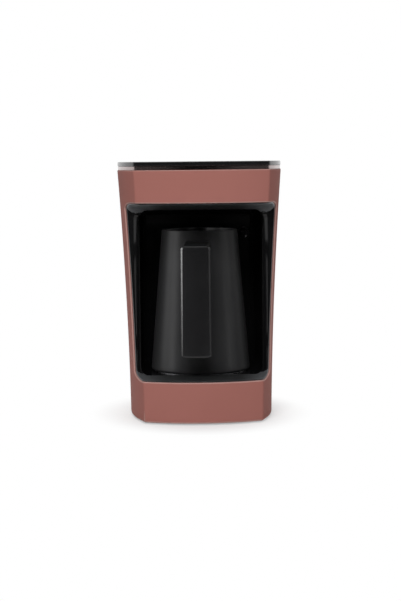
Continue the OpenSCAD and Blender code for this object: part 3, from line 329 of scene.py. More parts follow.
@dataclass
class Recipe:
    """Wires the nodes of a material, or of the world."""

    owner: bpy.types.Material | bpy.types.World

    def __post_init__(self) -> None:
        """Starts without nodes."""
        self.owner.use_nodes = True
        self.owner.node_tree.nodes.clear()

    def add(
        self, kind: str, inputs: dict[str | int, object] | None = None, **settings: object,
    ) -> bpy.types.Node:
        """Adds a node, sets it and feeds its inputs.

        Args:
            kind: The node's type name, without its ShaderNode prefix.
            inputs: By an input's name or number, its value or the output that feeds it.
            settings: Properties of the node.

        Returns:
            The node.
        """
        tree = self.owner.node_tree
        node = tree.nodes.new("ShaderNode" + kind)
        for key, value in settings.items():
            setattr(node, key, value)
        for key, value in (inputs or {}).items():
            if isinstance(value, Socket):
                tree.links.new(value, node.inputs[key])
            else:
                node.inputs[key].default_value = value
        return node

    @cached_property
    def place(self) -> Socket:
        """The place on the piece, in its own coordinates."""
        return self.add("TexCoord").outputs["Object"]

    def stretched(self, scale: Point3) -> Socket:
        """The place scaled along each axis."""
        return self.add("Mapping", {"Vector": self.place, "Scale": scale}).outputs["Vector"]

    def away(self, place: Socket) -> Socket:
        """How far a place lies from the origin."""
        return self.add("VectorMath", {0: place}, operation="LENGTH").outputs["Value"]

    def aside(self) -> Socket:
        """How far the place lies to the left or right."""
        return self.maths("ABSOLUTE", self.add("SeparateXYZ", {0: self.place}).outputs["X"])

    def noise(self, scale: float, octaves: float = 2.0, place: Socket | None = None) -> Socket:
        """Noise from 0 to 1, most of it within NOISE_SPAN."""
        inputs = {"Scale": scale, "Detail": octaves, "Roughness": NOISE_ROUGHNESS}
        return self.add("TexNoise", {"Vector": place or self.place, **inputs}).outputs["Fac"]

    def cells(self, scale: float, distance: str = "EUCLIDEAN") -> Socket:
        """How far the place lies from the middle of its cell."""
        inputs = {"Vector": self.place, "Scale": scale}
        return self.add("TexVoronoi", inputs, distance=distance).outputs["Distance"]

    def bands(self, scale: float, direction: str, place: Socket | None = None) -> Socket:
        """Bands from 0 to 1, across a direction."""
        inputs = {"Vector": place or self.place, "Scale": scale}
        return self.add("TexWave", inputs, bands_direction=direction).outputs["Fac"]

    def rings(self, scale: float, wobble: float) -> Socket:
        """Rings from 0 to 1, round the upright axis."""
        inputs = {"Vector": self.place, "Scale": scale, "Distortion": wobble}
        return self.add("TexWave", inputs, wave_type="RINGS", rings_direction="Z").outputs["Fac"]

    def maths(self, operation: str, first: Socket, second: Socket | float = 0.0) -> Socket:
        """Does one sum with two values."""
        return self.add("Math", {0: first, 1: second}, operation=operation).outputs["Value"]

    def mix(self, share: Socket, first: Socket | Colour, second: Colour) -> Socket:
        """Mixes two colours."""
        return self.add("Mix", {0: share, 6: first, 7: second}, data_type="RGBA").outputs[2]

    def spread(
        self, value: Socket, source: Point2, target: Point2 = (0.0, 1.0), shape: str = "LINEAR",
    ) -> Socket:
        """Maps a value from one range to another.

        Args:
            value: The value.
            source: The range that it comes from.
            target: The range that it gets.
            shape: LINEAR, or SOFT for level ends.

        Returns:
            The mapped value.
        """
        ends = zip(("From Min", "From Max", "To Min", "To Max"), (*source, *target))
        return self.add("MapRange", {"Value": value, **dict(ends)}, interpolation_type=shape).outputs[0]

    def surface(self, shader: bpy.types.Node) -> None:
        """Ends the recipe with its shader."""
        kind = "OutputWorld" if isinstance(self.owner, bpy.types.World) else "OutputMaterial"
        self.add(kind, {"Surface": shader.outputs[0]})


@dataclass(frozen=True)
class Finish:
    """One finish of the object, from its colour to its relief.

    Scales are per metre, height is the relief's in metres, and ends is a second colour,
    a painted glint, that takes over to the left and right.
    """

    name: str
    colour: Rgb
    drift: Rgb
    roughness: float
    texture: Texture
    scale: float
    height: float
    drift_scale: float = 30.0
    roughness_drift: float = 0.05
    metallic: float = 0.0
    coat: float = 0.0
    specular: float = 0.5
    anisotropy: float = 0.0
    sheen: float = 0.0
    see_through: float = 0.0
    edge_wear_and_highlight_colour: Rgb | None = None
    edge_wear_and_highlight_share: float = 0.25
    wear_lift: int = 40
    ends: Rgb | None = None
    painted_glint_span: Point2 = (0.0, 0.0)
    brush_stretch: Point3 = (1.0, 1.0, 60.0)
    turned_wobble: float = 0.4
    track_limit: float = 0.42
    sharp_span: Point2 = (0.54, 0.6)
    chip_scale: float = 700.0
    chip_span: Point2 = (0.7, 1.0)
    handling: float = 2.7

    def relief(self, recipe: Recipe) -> Socket:
        """Makes the height that the bump reads.

        Args:
            recipe: The material's nodes.

        Returns:
            The height from 0 to 1.
        """
        match self.texture:
            case Texture.BRUSHED:
                along = recipe.stretched(self.brush_stretch)
                return recipe.noise(self.scale, OCTAVES[self.texture], along)
            case Texture.TURNED:
                return recipe.rings(self.scale, self.turned_wobble)
            case Texture.SPECKLED:
                return recipe.cells(self.scale)
            case Texture.RIBBED:
                return recipe.bands(self.scale, "Z")
            case Texture.BRAIDED:
                strands = [
                    recipe.bands(self.scale, "DIAGONAL", recipe.stretched((side, 1.0, 1.0)))
                    for side in (1.0, -1.0)]
                return recipe.maths("MULTIPLY", *strands)
            case Texture.TRACKS:
                cells = recipe.cells(self.scale, "MANHATTAN")
                return recipe.maths("GREATER_THAN", cells, self.track_limit)
        return recipe.noise(self.scale, OCTAVES[self.texture])

    def edges(self, recipe: Recipe) -> Socket:
        """Makes the mask of the outer edges, a little broken up.

        Args:
            recipe: The material's nodes.

        Returns:
            The mask from 0 to 1.
        """
        sharp = recipe.spread(recipe.add("NewGeometry").outputs["Pointiness"], self.sharp_span)
        marked = recipe.add("Attribute", attribute_name=EDGE_MARK).outputs["Fac"]
        chips = recipe.spread(
            recipe.noise(self.chip_scale, octaves=3.0), NOISE_SPAN, self.chip_span)
        return recipe.maths("MULTIPLY", recipe.maths("MAXIMUM", sharp, marked), chips)

    def tint(self, recipe: Recipe) -> Socket:
        """Makes the colour, with its drift, its painted glint at the ends, and its outer edges
        lightened for wear and a painted highlight.

        Args:
            recipe: The material's nodes.

        Returns:
            The colour.
        """
        drift = recipe.spread(recipe.noise(self.drift_scale), NOISE_SPAN)
        colour = recipe.mix(drift, linear(self.colour), linear(self.drift))
        # The ends colour is a painted glint, lighter towards the left and right.
        if self.ends:
            share = recipe.spread(recipe.aside(), self.painted_glint_span, shape=SOFT)
            colour = recipe.mix(share, colour, linear(self.ends))
        # Outer edges lightened: edge wear, and on the rose sleeve a painted highlight along the
        # opening's rounded rim.
        edge_wear_and_highlight_colour = self.edge_wear_and_highlight_colour or tuple(min(c + self.wear_lift, 255) for c in self.drift)
        edge = recipe.maths("MULTIPLY", self.edges(recipe), self.edge_wear_and_highlight_share)
        return recipe.mix(edge, colour, linear(edge_wear_and_highlight_colour))

    def material(self) -> bpy.types.Material:
        """Makes the finish's material.

        Returns:
            The material, named after the finish.
        """
        recipe = Recipe(bpy.data.materials.new(self.name))
        handled = recipe.noise(self.drift_scale * self.handling, octaves=4.0)
        rough = (self.roughness - self.roughness_drift, self.roughness + self.roughness_drift)
        bump = {"Strength": 1.0, "Distance": self.height, "Height": self.relief(recipe)}
        recipe.surface(recipe.add("BsdfPrincipled", {
            "Base Color": self.tint(recipe),
            "Roughness": recipe.spread(handled, NOISE_SPAN, rough),
            "Normal": recipe.add("Bump", bump).outputs["Normal"],
            "Metallic": self.metallic,
            "Coat Weight": self.coat,
            "Coat Roughness": COAT_ROUGHNESS,
            "Specular IOR Level": self.specular,
            "Anisotropic": self.anisotropy,
            "Sheen Weight": self.sheen,
            "Transmission Weight": self.see_through,
        }))
        recipe.owner.diffuse_color = linear(self.colour)
        return recipe.owner


FINISHES: tuple[Finish, ...] = (
    # rose_shell's lighter edges are edge wear and a painted highlight on the opening's rounded rim.
    Finish("rose_shell", (160, 106, 98), (155, 102, 94), 0.5, Texture.ORANGE_PEEL, 420, 0.004 * MM,
           drift_scale=9, roughness_drift=0.03, specular=0.015, edge_wear_and_highlight_colour=(206, 184, 178), edge_wear_and_highlight_share=0.42),
    Finish("black_gloss", (13, 13, 14), (16, 16, 17), 0.15, Texture.ORANGE_PEEL, 260, 0.003 * MM,
           drift_scale=18, roughness_drift=0.03),
    # The bezel's lighter ends are a painted glint at its corners.
    Finish("bezel_black", (30, 31, 32), (34, 35, 36), 0.4, Texture.FINE_GRAIN, 1500, 0.006 * MM,
           ends=(82, 83, 85), painted_glint_span=(34 * MM, 58 * MM)),
    Finish("black_satin", (15, 15, 16), (19, 19, 20), 0.5, Texture.FINE_GRAIN, 2600, 0.02 * MM,
           specular=0.3),
    Finish("bright_trim", (174, 158, 156), (163, 147, 145), 0.2, Texture.BRUSHED, 90, 0.002 * MM,
           metallic=1.0, roughness_drift=0.04),
    Finish("plate_metal", (122, 123, 126), (104, 105, 108), 0.34, Texture.TURNED, 260, 0.02 * MM,
           metallic=1.0, anisotropy=0.4),
    Finish("seal_rubber", (58, 58, 60), (50, 50, 52), 0.62, Texture.FINE_GRAIN, 1800, 0.02 * MM),
    Finish("element_sheath", (120, 104, 92), (84, 78, 82), 0.45, Texture.FINE_GRAIN, 900, 0.03 * MM,
           metallic=0.9, drift_scale=60),
    Finish("sheet_steel", (168, 170, 172), (150, 152, 155), 0.38, Texture.BRUSHED, 60, 0.01 * MM,
           metallic=1.0),
    Finish("screw_steel", (178, 179, 180), (150, 150, 152), 0.3, Texture.TURNED, 900, 0.01 * MM,
           metallic=1.0),
    Finish("probe_brass", (186, 146, 84), (160, 120, 66), 0.32, Texture.TURNED, 700, 0.01 * MM,
           metallic=1.0),
    Finish("sensor_window", (10, 8, 12), (16, 10, 16), 0.06, Texture.POLISHED, 300, 0.002 * MM,
           coat=0.6),
    Finish("circuit_board", (36, 92, 58), (30, 74, 48), 0.4, Texture.TRACKS, 420, 0.03 * MM, coat=0.4),
    Finish("relay_case", (40, 72, 140), (34, 62, 124), 0.35, Texture.FINE_GRAIN, 1500, 0.02 * MM),
    Finish("transformer_core", (92, 78, 56), (60, 56, 52), 0.5, Texture.RIBBED, 600, 0.05 * MM,
           metallic=0.4),
    Finish("capacitor_case", (34, 38, 48), (44, 48, 58), 0.3, Texture.FINE_GRAIN, 900, 0.01 * MM),
    Finish("light_diffuser", (226, 229, 234), (214, 218, 224), 0.4, Texture.FINE_GRAIN, 1600, 0.01 * MM,
           see_through=0.25),
    Finish("foot_rubber", (34, 34, 35), (42, 42, 43), 0.7, Texture.SPECKLED, 1500, 0.04 * MM),
    Finish("terminal_plastic", (226, 226, 220), (214, 213, 205), 0.45, Texture.FINE_GRAIN, 1500,
           0.02 * MM),
    Finish("lead_sleeve", (186, 181, 168), (168, 162, 148), 0.65, Texture.BRAIDED, 900, 0.06 * MM,
           sheen=0.3),
    Finish("pot_coat", (36, 36, 37), (34, 34, 35), 0.33, Texture.FINE_GRAIN, 1500, 0.002 * MM,
           roughness_drift=0.02),
    Finish("pot_steel", (176, 177, 180), (158, 159, 163), 0.28, Texture.TURNED, 420, 0.02 * MM,
           metallic=1.0),
    Finish("handle_gloss", (24, 24, 25), (28, 28, 29), 0.24, Texture.FINE_GRAIN, 1200, 0.006 * MM,
           roughness_drift=0.03),
)


@dataclass
class Wardrobe:
    """Every material of the object, by slot."""

    materials: dict[str, bpy.types.Material] = field(default_factory=dict)

    def __post_init__(self) -> None:
        """Makes the materials."""
        self.materials.update((finish.name, finish.material()) for finish in FINISHES)

    def dress_frame(self) -> None:
        """Gives each node of the frame the material of its slot."""
        for part in frame["record"]["subparts"]:
            node = frame["nodes"][part["node"]]
            material = self.materials[part["material_slot"]]
            for place in node.material_slots:
                place.material = material
            if not node.material_slots:
                node.data.materials.append(material)


@dataclass
class Part:
    """A sub-assembly of the object, with the mesh that is being made for it."""

    wardrobe: Wardrobe
    skin: Skin = field(default_factory=Skin, kw_only=True)

    def publish(
        self, name: str, slot: str, body: str, replaced: Sequence[str], sharp: float = 35.0,
        finish: str = "",
    ) -> bpy.types.Object:
        """Turns the finished mesh into a dressed piece, and starts a new mesh.

        Args:
            name: The piece's name.
            slot: The material slot that it is dressed from.
            body: The body that it rides on.
            replaced: The nodes of the frame that it stands for.
            sharp: Angle past which an edge stays sharp, in degrees.
            finish: The finish that it wears, if that isn't the slot's own.

        Returns:
            The piece.
        """
        self.skin.mark_edges()
        for face in self.skin.bm.faces:
            face.smooth = True
        piece = self.skin.to_object(name)
        piece.data.set_sharp_from_angle(angle=math.radians(sharp))
        piece.data.materials.append(self.wardrobe.materials[finish or slot])
        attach(piece, body)
        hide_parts(*replaced)
        LOG.info("%s: %d faces", name, len(piece.data.polygons))
        self.skin = Skin()
        return piece


# ------------------------------------------------------------ the flared plan


@dataclass(frozen=True)
class Arc:
    """A round stretch of the plan, and the length of way that it takes up."""

    centre: Point2
    radius: float
    start: float
    end: float
    span: float

    def at(self, share: float) -> Point2:
        """The point at a share of the way along it."""
        a = lerp(self.start, self.end, share)
        return self.centre[0] + self.radius * math.cos(a), self.centre[1] + self.radius * math.sin(a)


@dataclass(frozen=True)
class FlaredPlan:
    """The body's plan at any height: bowed faces and sides, and round corners."""

    base_w: float = 141.4 * MM
    top_w: float = 162.6 * MM
    base_d: float = 168 * MM
    top_d: float = 190 * MM
    height: float = 244.4 * MM
    straight_share: float = 0.34
    face_bow: float = 140 * MM
    side_bow: float = 200 * MM
    corner_r: float = 4 * MM
    corner_min_r: float = 1 * MM
    face_span: float = 1.0
    corner_span: float = 0.3
    side_span: float = 1.3

    @property
    def whole(self) -> float:
        """Length of the way all round."""
        return 4 * (self.face_span + self.corner_span + self.side_span)

    def flare(self, z: float) -> float:
        """Share of the flare that is reached at a height."""
        t = z / self.height
        return self.straight_share * t + (1 - self.straight_share) * t * t

    def half_w(self, z: float) -> float:
        """Half the plan's width at a height."""
        return lerp(self.base_w, self.top_w, self.flare(z)) / 2

    def half_d(self, z: float) -> float:
        """Half the plan's depth at a height."""
        return lerp(self.base_d, self.top_d, self.flare(z)) / 2

    def arcs(self, z: float, inset: float = 0.0) -> tuple[Arc, Arc, Arc]:
        """The arcs from the middle of the front to the middle of the right side.

        Args:
            z: The height.
            inset: How far inside the plan's edge they lie.

        Returns:
            The face's, the corner's and the side's arc.
        """
        r = max(self.corner_r - inset, self.corner_min_r)
        face_r, side_r = self.face_bow - inset, self.side_bow - inset
        face = (0.0, self.face_bow - self.half_d(z))
        side = (self.half_w(z) - self.side_bow, 0.0)
        gap = Vector(side) - Vector(face)
        along = ((face_r - r) ** 2 - (side_r - r) ** 2 + gap.length ** 2) / (2 * gap.length)
        across = math.sqrt((face_r - r) ** 2 - along * along)
        unit = gap.normalized()
        corner = Vector(face) + along * unit + across * Vector((-unit.y, unit.x))
        at_face, at_side = (math.atan2(corner.y - y, corner.x - x) for x, y in (face, side))
        return (
            Arc(face, face_r, -math.pi / 2, at_face, self.face_span),
            Arc((corner.x, corner.y), r, at_face, at_side, self.corner_span),
            Arc(side, side_r, at_side, 0.0, self.side_span))

    def point(self, s: float, z: float, inset: float = 0.0) -> Point2:
        """A point on the plan.

        Args:
            s: The way round from the middle of the front, positive to the right.
            z: The height.
            inset: How far inside the plan's edge the point lies.

        Returns:
            Its X and Y.
        """
        s = (s + self.whole / 2) % self.whole - self.whole / 2
        way = min(abs(s), self.whole / 2 - abs(s))
        front = 1.0 if abs(s) <= self.whole / 4 else -1.0
        face, corner, side = self.arcs(z, inset)
        if way <= face.span:
            x, y = face.at(way / face.span)
        elif way <= face.span + corner.span:
            x, y = corner.at((way - face.span) / corner.span)
        else:
            x, y = side.at((way - face.span - corner.span) / side.span)
        return (-x if s < 0 else x), front * y

    def way_at(self, x: float, z: float) -> float:
        """The way round to the point of the front half that has a given X.

        Args:
            x: The point's X.
            z: Its height.

        Returns:
            The way from the middle of the front.
        """
        face, corner, side = self.arcs(z)
        if abs(x) <= face.at(1.0)[0]:
            before, stretch = 0.0, face
        elif abs(x) <= corner.at(1.0)[0]:
            before, stretch = face.span, corner
        else:
            before, stretch = face.span + corner.span, side
        a = -math.acos((abs(x) - stretch.centre[0]) / stretch.radius)
        way = before + stretch.span * (a - stretch.start) / (stretch.end - stretch.start)
        return math.copysign(way, x) if x else way

    def loop(self, z: float, inset: float, plan_z: float, steps: int) -> list[Vector]:
        """A closed loop round the plan, from the middle of the front round by the right.

        Args:
            z: The height that the loop lies at.
            inset: How far inside the plan's edge it runs.
            plan_z: The height whose plan it follows.
            steps: Number of its points.

        Returns:
            The loop's points.
        """
        ways = between(0.0, self.whole, steps, 0)[:-1]
        return [Vector((*self.point(way, plan_z, inset), z)) for way in ways]


@dataclass(frozen=True)
class Opening:
    """The tall opening in the sleeve, as it is seen from the front."""

    plan: FlaredPlan
    bottom: float = 41.4 * MM
    top: float = 213 * MM
    margin: float = 4.6 * MM
    bottom_r: float = 8 * MM
    top_r: float = 5.5 * MM
    flat_steps: int = 22
    corner_steps: int = 12
    side_steps: int = 40

    def window(
        self, half: Callable[[float], float], sides: Point2, low_r: Point2, high_r: Point2,
    ) -> list[Point3]:
        """Goes round a tall window, in the opening's steps.

        Args:
            half: Half the window's width at a height.
            sides: The heights where its sides start and end.
            low_r: The half widths of its lower corners' arcs.
            high_r: The half widths of its upper corners' arcs.

        Returns:
            X, Z and the share of a side that each point has, from the middle of the bottom
            round by the right.
        """
        low, high = sides
        x0, x1 = half(low) - low_r[0], half(high) - high_r[0]
        steps = self.corner_steps
        shares = between(0.0, 1.0, steps)
        right = [(x, low - low_r[1], 0.0) for x in between(0.0, x0, self.flat_steps, 0)]
        right += [(*p, t) for p, t in zip(arc((x0, low), low_r, -90, 0, steps), shares)]
        right += [(half(z), z, 1.0) for z in between(low, high, self.side_steps)]
        right += [(*p, 1 - t) for p, t in zip(arc((x1, high), high_r, 0, 90, steps), shares)]
        right += [(x, high + high_r[1], 0.0) for x in between(x1, 0.0, self.flat_steps)]
        return mirror(right)

    def outline(self, side_inset: float, flat_inset: float) -> list[Point3]:
        """The opening's outline, moved inwards.

        Args:
            side_inset: How far its sides lie inside the opening.
            flat_inset: How far its top and bottom lie inside the opening.

        Returns:
            X, Z and the share of a side, as from window.
        """
        low_r, high_r = ((r - side_inset, r - flat_inset) for r in (self.bottom_r, self.top_r))
        return self.window(
            lambda z: self.plan.half_w(z) - self.margin - side_inset,
            (self.bottom + self.bottom_r, self.top - self.top_r), low_r, high_r)


# --------------------------------------------------------------------- sleeve


@dataclass
class Sleeve(Part):
    """The painted outer sleeve with its tall opening.

    Its skin is laid out flat, as way round, inset and height, and bent onto the plan last.
    """

    plan: FlaredPlan
    opening: Opening
    lift: float = 1.5 * MM
    wall: float = 2.4 * MM
    foot_r: float = 2 * MM
    top_r: float = 0.9 * MM
    top_depth: float = 0.7 * MM
    rim_r: float = 1.3 * MM
    rim_slant: float = 0.26
    rim_back: float = 0.3 * MM
    rim_splay: float = 0.25
    frame_low: float = 22 * MM
    frame_high: float = 231 * MM
    frame_lead: float = 5 * MM
    frame_way: float = 1.95
    frame_bend: float = 0.55
    foot_rows: tuple[float, ...] = (16 * MM, 10 * MM, 6 * MM)
    top_rows: tuple[float, ...] = (236 * MM, 240 * MM)
    rings: int = 7
    ring_growth: float = 1.5
    back_steps: int = 96
    round_steps: int = 4
    crease_steps: int = 8

    @property
    def foot(self) -> float:
        """Where the outer skin starts, over the foot's rounding."""
        return self.lift + self.foot_r

    @property
    def brink(self) -> float:
        """Where the outer skin ends, under the top's rounding."""
        return self.plan.height - self.top_r

    def build(self) -> None:
        """Builds and dresses the sleeve."""
        edge = self.rim_ring(1.0)
        outer = self.surround(edge)
        rim = ring = self.skin.ring(edge)
        for share in between(0.0, 1.0, self.rings):
            t = share ** self.ring_growth
            ring = self.skin.extrude(ring, [a.lerp(b, t) for a, b in zip(edge, outer)])
        chain = self.add_rows(ring)
        for way in between(self.frame_way, self.plan.whole - self.frame_way, self.back_steps):
            chain = self.skin.extrude(chain, [Vector((way, 0.0, v.co.z)) for v in chain], False)
        self.add_inside(rim)
        self.cut_creases()
        for vert in self.skin.bm.verts:
            vert.co.xy = self.plan.point(vert.co.x, vert.co.z, vert.co.y)
        self.skin.clean()
        self.publish("sleeve", "rose_shell", "housing", ["body_shell"])

    def rim_ring(self, grow: float, inset: float = 0.0) -> list[Vector]:
        """A ring round the opening.

        Args:
            grow: Share of the rim's rounding that it is grown by.
            inset: Its depth under the outer skin.

        Returns:
            The ring's points.
        """
        wide = grow * self.rim_r
        points = self.opening.outline(-wide * self.rim_slant, -wide)
        return [Vector((self.plan.way_at(x, z), inset, z)) for x, z, _ in points]

    def surround(self, edge: Sequence[Vector]) -> list[Vector]:
        """The straight-sided frame round the opening, point for point.

        Args:
            edge: The ring round the opening.

        Returns:
            The frame's points.
        """
        half, last = self.opening.corner_steps // 2, self.opening.flat_steps
        bend = lerp(edge[last].x, self.frame_way, self.frame_bend)
        low = [point.x * bend / edge[last].x for point in edge[:last + 1]]
        low += between(bend, self.frame_way, half)
        levels = [
            self.frame_low, self.frame_low + self.frame_lead, self.frame_high - self.frame_lead,
            self.frame_high]
        right = [(way, self.frame_low) for way in low]
        for a, b, steps in zip(levels, levels[1:], (half, self.opening.side_steps, half)):
            right += [(self.frame_way, z) for z in between(a, b, steps)]
        right += [(way, self.frame_high) for way in low[-2::-1]]
        return [Vector((way, 0.0, z)) for way, z in mirror(right)]

    def add_rows(self, ring: Sequence[Vert]) -> list[Vert]:
        """Extends the frame round the opening down to the foot and up to the top.

        Args:
            ring: The frame's vertices.

        Returns:
            The vertices of the frame's right edge, from the foot to the top.
        """
        corner = self.opening.flat_steps + self.opening.corner_steps // 2
        top = corner + self.opening.corner_steps + self.opening.side_steps
        low, high = [*ring[-corner:], *ring[:corner + 1]], ring[top:len(ring) - top + 1]
        right = ring[corner:top + 1]
        for z in (*self.foot_rows, self.foot):
            low = self.skin.extrude(low, [Vector((v.co.x, 0.0, z)) for v in low], False)
            right = [low[-1], *right]
        for z in (*self.top_rows, self.brink):
            high = self.skin.extrude(high, [Vector((v.co.x, 0.0, z)) for v in high], False)
            right = [*right, high[0]]
        return right

    def add_inside(self, rim: Sequence[Vert]) -> None:
        """Adds the inner skin and the rounded edges that join it to the outer one.

        Args:
            rim: The ring of vertices round the opening.
        """
        bm = self.skin.bm
        low, high = (
            [e for e in bm.edges if e.is_boundary and all(abs(v.co.z - z) < NEAR for v in e.verts)]
            for z in (self.foot, self.brink))
        twin = bmesh.ops.duplicate(bm, geom=bm.verts[:] + bm.edges[:] + bm.faces[:])["geom"]
        for vert in (v for v in twin if isinstance(v, Vert)):
            vert.co.y = self.wall
        bmesh.ops.reverse_faces(bm, faces=[f for f in twin if isinstance(f, bmesh.types.BMFace)])

        curve, height = rounding(self.round_steps, 1), self.plan.height
        rows = [(self.foot_r * a, self.lift + self.foot_r * b) for a, b in curve]
        self.add_edge_rows(low, rows + [(self.wall, self.lift), (self.wall, self.foot)])
        rows = [(self.top_depth * a, height - self.top_r * b) for a, b in curve]
        self.add_edge_rows(high, rows + [(self.wall, height), (self.wall, self.brink)])
        steps = [(b, self.rim_r * a) for a, b in curve]
        steps += [(0.0, self.wall - self.rim_back), (self.rim_splay, self.wall), (1.0, self.wall)]
        for grow, inset in steps:
            rim = self.skin.extrude(rim, self.rim_ring(grow, inset))

    def add_edge_rows(self, edges: Sequence[Edge], rows: Sequence[Point2]) -> None:
        """Extrudes the sleeve's lower or upper edge through a row of insets and heights.

        Args:
            edges: The edge's boundary edges.
            rows: Inset and height of each step.
        """
        for inset, z in rows:
            made = bmesh.ops.extrude_edge_only(self.skin.bm, edges=edges)["geom"]
            for vert in (v for v in made if isinstance(v, Vert)):
                vert.co.yz = inset, z
            edges = [e for e in made if isinstance(e, Edge)]

    def cut_creases(self) -> None:
        """Cuts the skin along the upright corners, so that each gets its full rounding."""
        bm, plan = self.skin.bm, self.plan
        for way in between(plan.face_span, plan.face_span + plan.corner_span, self.crease_steps, 0):
            for place in (way, -way, plan.whole / 2 - way, plan.whole / 2 + way):
                bmesh.ops.bisect_plane(
                    bm, geom=bm.verts[:] + bm.edges[:] + bm.faces[:], dist=NEAR,
                    plane_co=(place, 0.0, 0.0), plane_no=(1.0, 0.0, 0.0))


# ----------------------------------------------------------- bezel and cavity


@dataclass
class Cavity(Part):
    """The brewing cavity's moulding, with the hole that the hot plate sits in."""

    half_w: float = 60 * MM
    front: float = -40 * MM
    back: float = 58 * MM
    floor: float = 43 * MM
    roof: float = 205.3 * MM
    bow: float = 150 * MM
    corner_r: float = 12 * MM
    fillet: float = 8 * MM
    wall: float = 2.2 * MM
    plate_hole_r: float = 35.6 * MM
    side_steps: int = 16
    corner_steps: int = 10
    bow_steps: int = 12
    fillet_steps: int = 8
    wall_steps: int = 20
    front_steps: int = 24
    floor_shares: Point3 = (0.4, 0.8, 1.0)
    side_zone: float = 1 * MM

    def build(self) -> None:
        """Builds and dresses the cavity's moulding."""
        skin, bm = self.skin, self.skin.bm
        rows = self.rows()
        wall = self.path(*rows[0])
        floor = ring = skin.ring(wall + self.front_line(*rows[0]))
        chain = floor[:len(wall)]
        for row in rows[1:]:
            chain = skin.extrude(chain, self.path(*row), False)
        line = [bm.verts.new(p) for p in self.front_line(*rows[-1])]
        for pair in zip([chain[-1], *line], [*line, chain[0]]):
            bm.edges.new(pair)
        skin.cap(chain + line)
        for share in self.floor_shares:
            ring = skin.extrude(ring, [self.towards_hole(v.co, share) for v in floor])
        skin.clean()
        right = [f for f in bm.faces if f.calc_center_median().x > self.half_w - self.side_zone]
        if sum(f.normal.x * f.calc_area() for f in right) > 0:
            bmesh.ops.reverse_faces(bm, faces=bm.faces[:])
        bmesh.ops.solidify(bm, geom=bm.faces[:], thickness=self.wall)
        self.publish("cavity", "black_gloss", "housing", ["cavity_liner"])

    def rows(self) -> list[Point2]:
        """The rows of the wall, from the floor's fillet up to the roof's.

        Returns:
            Inset and height of each row.
        """
        r = self.fillet
        low = [(r * b, self.floor + r * a) for a, b in rounding(self.fillet_steps)]
        up = [(0.0, z) for z in between(self.floor + r, self.roof - r, self.wall_steps)[:-1]]
        return low + up + [(inset, self.floor + self.roof - z) for inset, z in low[::-1]]

    def path(self, inset: float, z: float) -> list[Vector]:
        """The wall's line from the mouth's right side round the back to its left side.

        Args:
            inset: How far inside the wall it runs.
            z: Its height.

        Returns:
            The line's points.
        """
        x = self.half_w - self.corner_r
        bow_y = self.back - self.bow
        y = bow_y + math.sqrt((self.bow - self.corner_r) ** 2 - x ** 2)
        end = math.degrees(math.atan2(y - bow_y, x))
        r, big = self.corner_r - inset, self.bow - inset
        right = [(self.half_w - inset, y) for y in between(self.front, y, self.side_steps, 0)]
        right += arc((x, y), (r, r), 0, end, self.corner_steps)
        right += arc((0.0, bow_y), (big, big), end, 90, self.bow_steps)
        return [Vector((x, y, z)) for x, y in right + [(-x, y) for x, y in right[-2::-1]]]

    def front_line(self, inset: float, z: float) -> list[Vector]:
        """Points along the mouth from left to right, between the ends of the wall's line."""
        half = self.half_w - inset
        return [Vector((x, self.front, z)) for x in between(-half, half, self.front_steps)[:-1]]

    def towards_hole(self, start: Vector, share: float) -> Vector:
        """A point of the floor between its edge and the plate's hole."""
        flat = start.xy.normalized() * self.plate_hole_r
        return start.lerp(Vector((*flat, self.floor)), share)


@dataclass
class Bezel(Part):
    """The black sloped frame between the sleeve's opening and the cavity."""

    plan: FlaredPlan
    opening: Opening
    cavity: Cavity
    side_gap: float = 0.05 * MM
    gap: float = 0.25 * MM
    recess: float = 0.9 * MM
    side_recess: float = 1.3 * MM
    lip: float = 1.2 * MM
    wall: float = 2 * MM
    slope_steps: int = 10
    bulge: float = 1.6 * MM
    edge_r: float = 0.3 * MM

    def build(self) -> None:
        """Builds and dresses the bezel, satin at its top and bottom and glossy at its sides."""
        lip_out, lip_in = self.on_sleeve(0.0), self.on_sleeve(self.lip)
        rings = [lip_out, lip_in]
        for t in between(0.0, 1.0, self.slope_steps):
            out = Vector((0.0, -4 * t * (1 - t) * self.bulge, 0.0))
            rings.append([a.lerp(b, t) + out for a, b in zip(lip_in, self.at_mouth(0.0))])
        self.skin.loft([*rings, self.at_mouth(self.wall), lip_out])
        self.skin.round_edges(self.edge_r, segments=2, angle=40)
        for face in self.skin.bm.faces:
            face.material_index = int(abs(face.normal.x) > abs(face.normal.z))
        piece = self.publish(
            "bezel", "black_gloss", "housing", ["front_bezel"], finish="bezel_black")
        piece.data.materials.append(self.wardrobe.materials["black_gloss"])

    def on_sleeve(self, inward: float) -> list[Vector]:
        """A ring just under the sleeve's face, inside its opening.

        Args:
            inward: How far it lies inside the lip's outer edge.

        Returns:
            The ring's points.
        """
        found = []
        for x, z, side in self.opening.outline(inward + self.side_gap, inward + self.gap):
            depth = lerp(self.recess, self.side_recess, smoothstep(side))
            found.append(Vector((*self.plan.point(self.plan.way_at(x, z), z, depth), z)))
        return found

    def at_mouth(self, grow: float) -> list[Vector]:
        """A ring round the cavity's mouth.

        Args:
            grow: How far it lies outside the mouth.

        Returns:
            The ring's points.
        """
        mouth, r = self.cavity, (self.cavity.fillet + grow, self.cavity.fillet + grow)
        sides = (mouth.floor + mouth.fillet, mouth.roof - mouth.fillet)
        points = self.opening.window(lambda z: mouth.half_w + grow, sides, r, r)
        return [Vector((x, mouth.front, z)) for x, z, _ in points]


# ------------------------------------------------------------- ring and cover


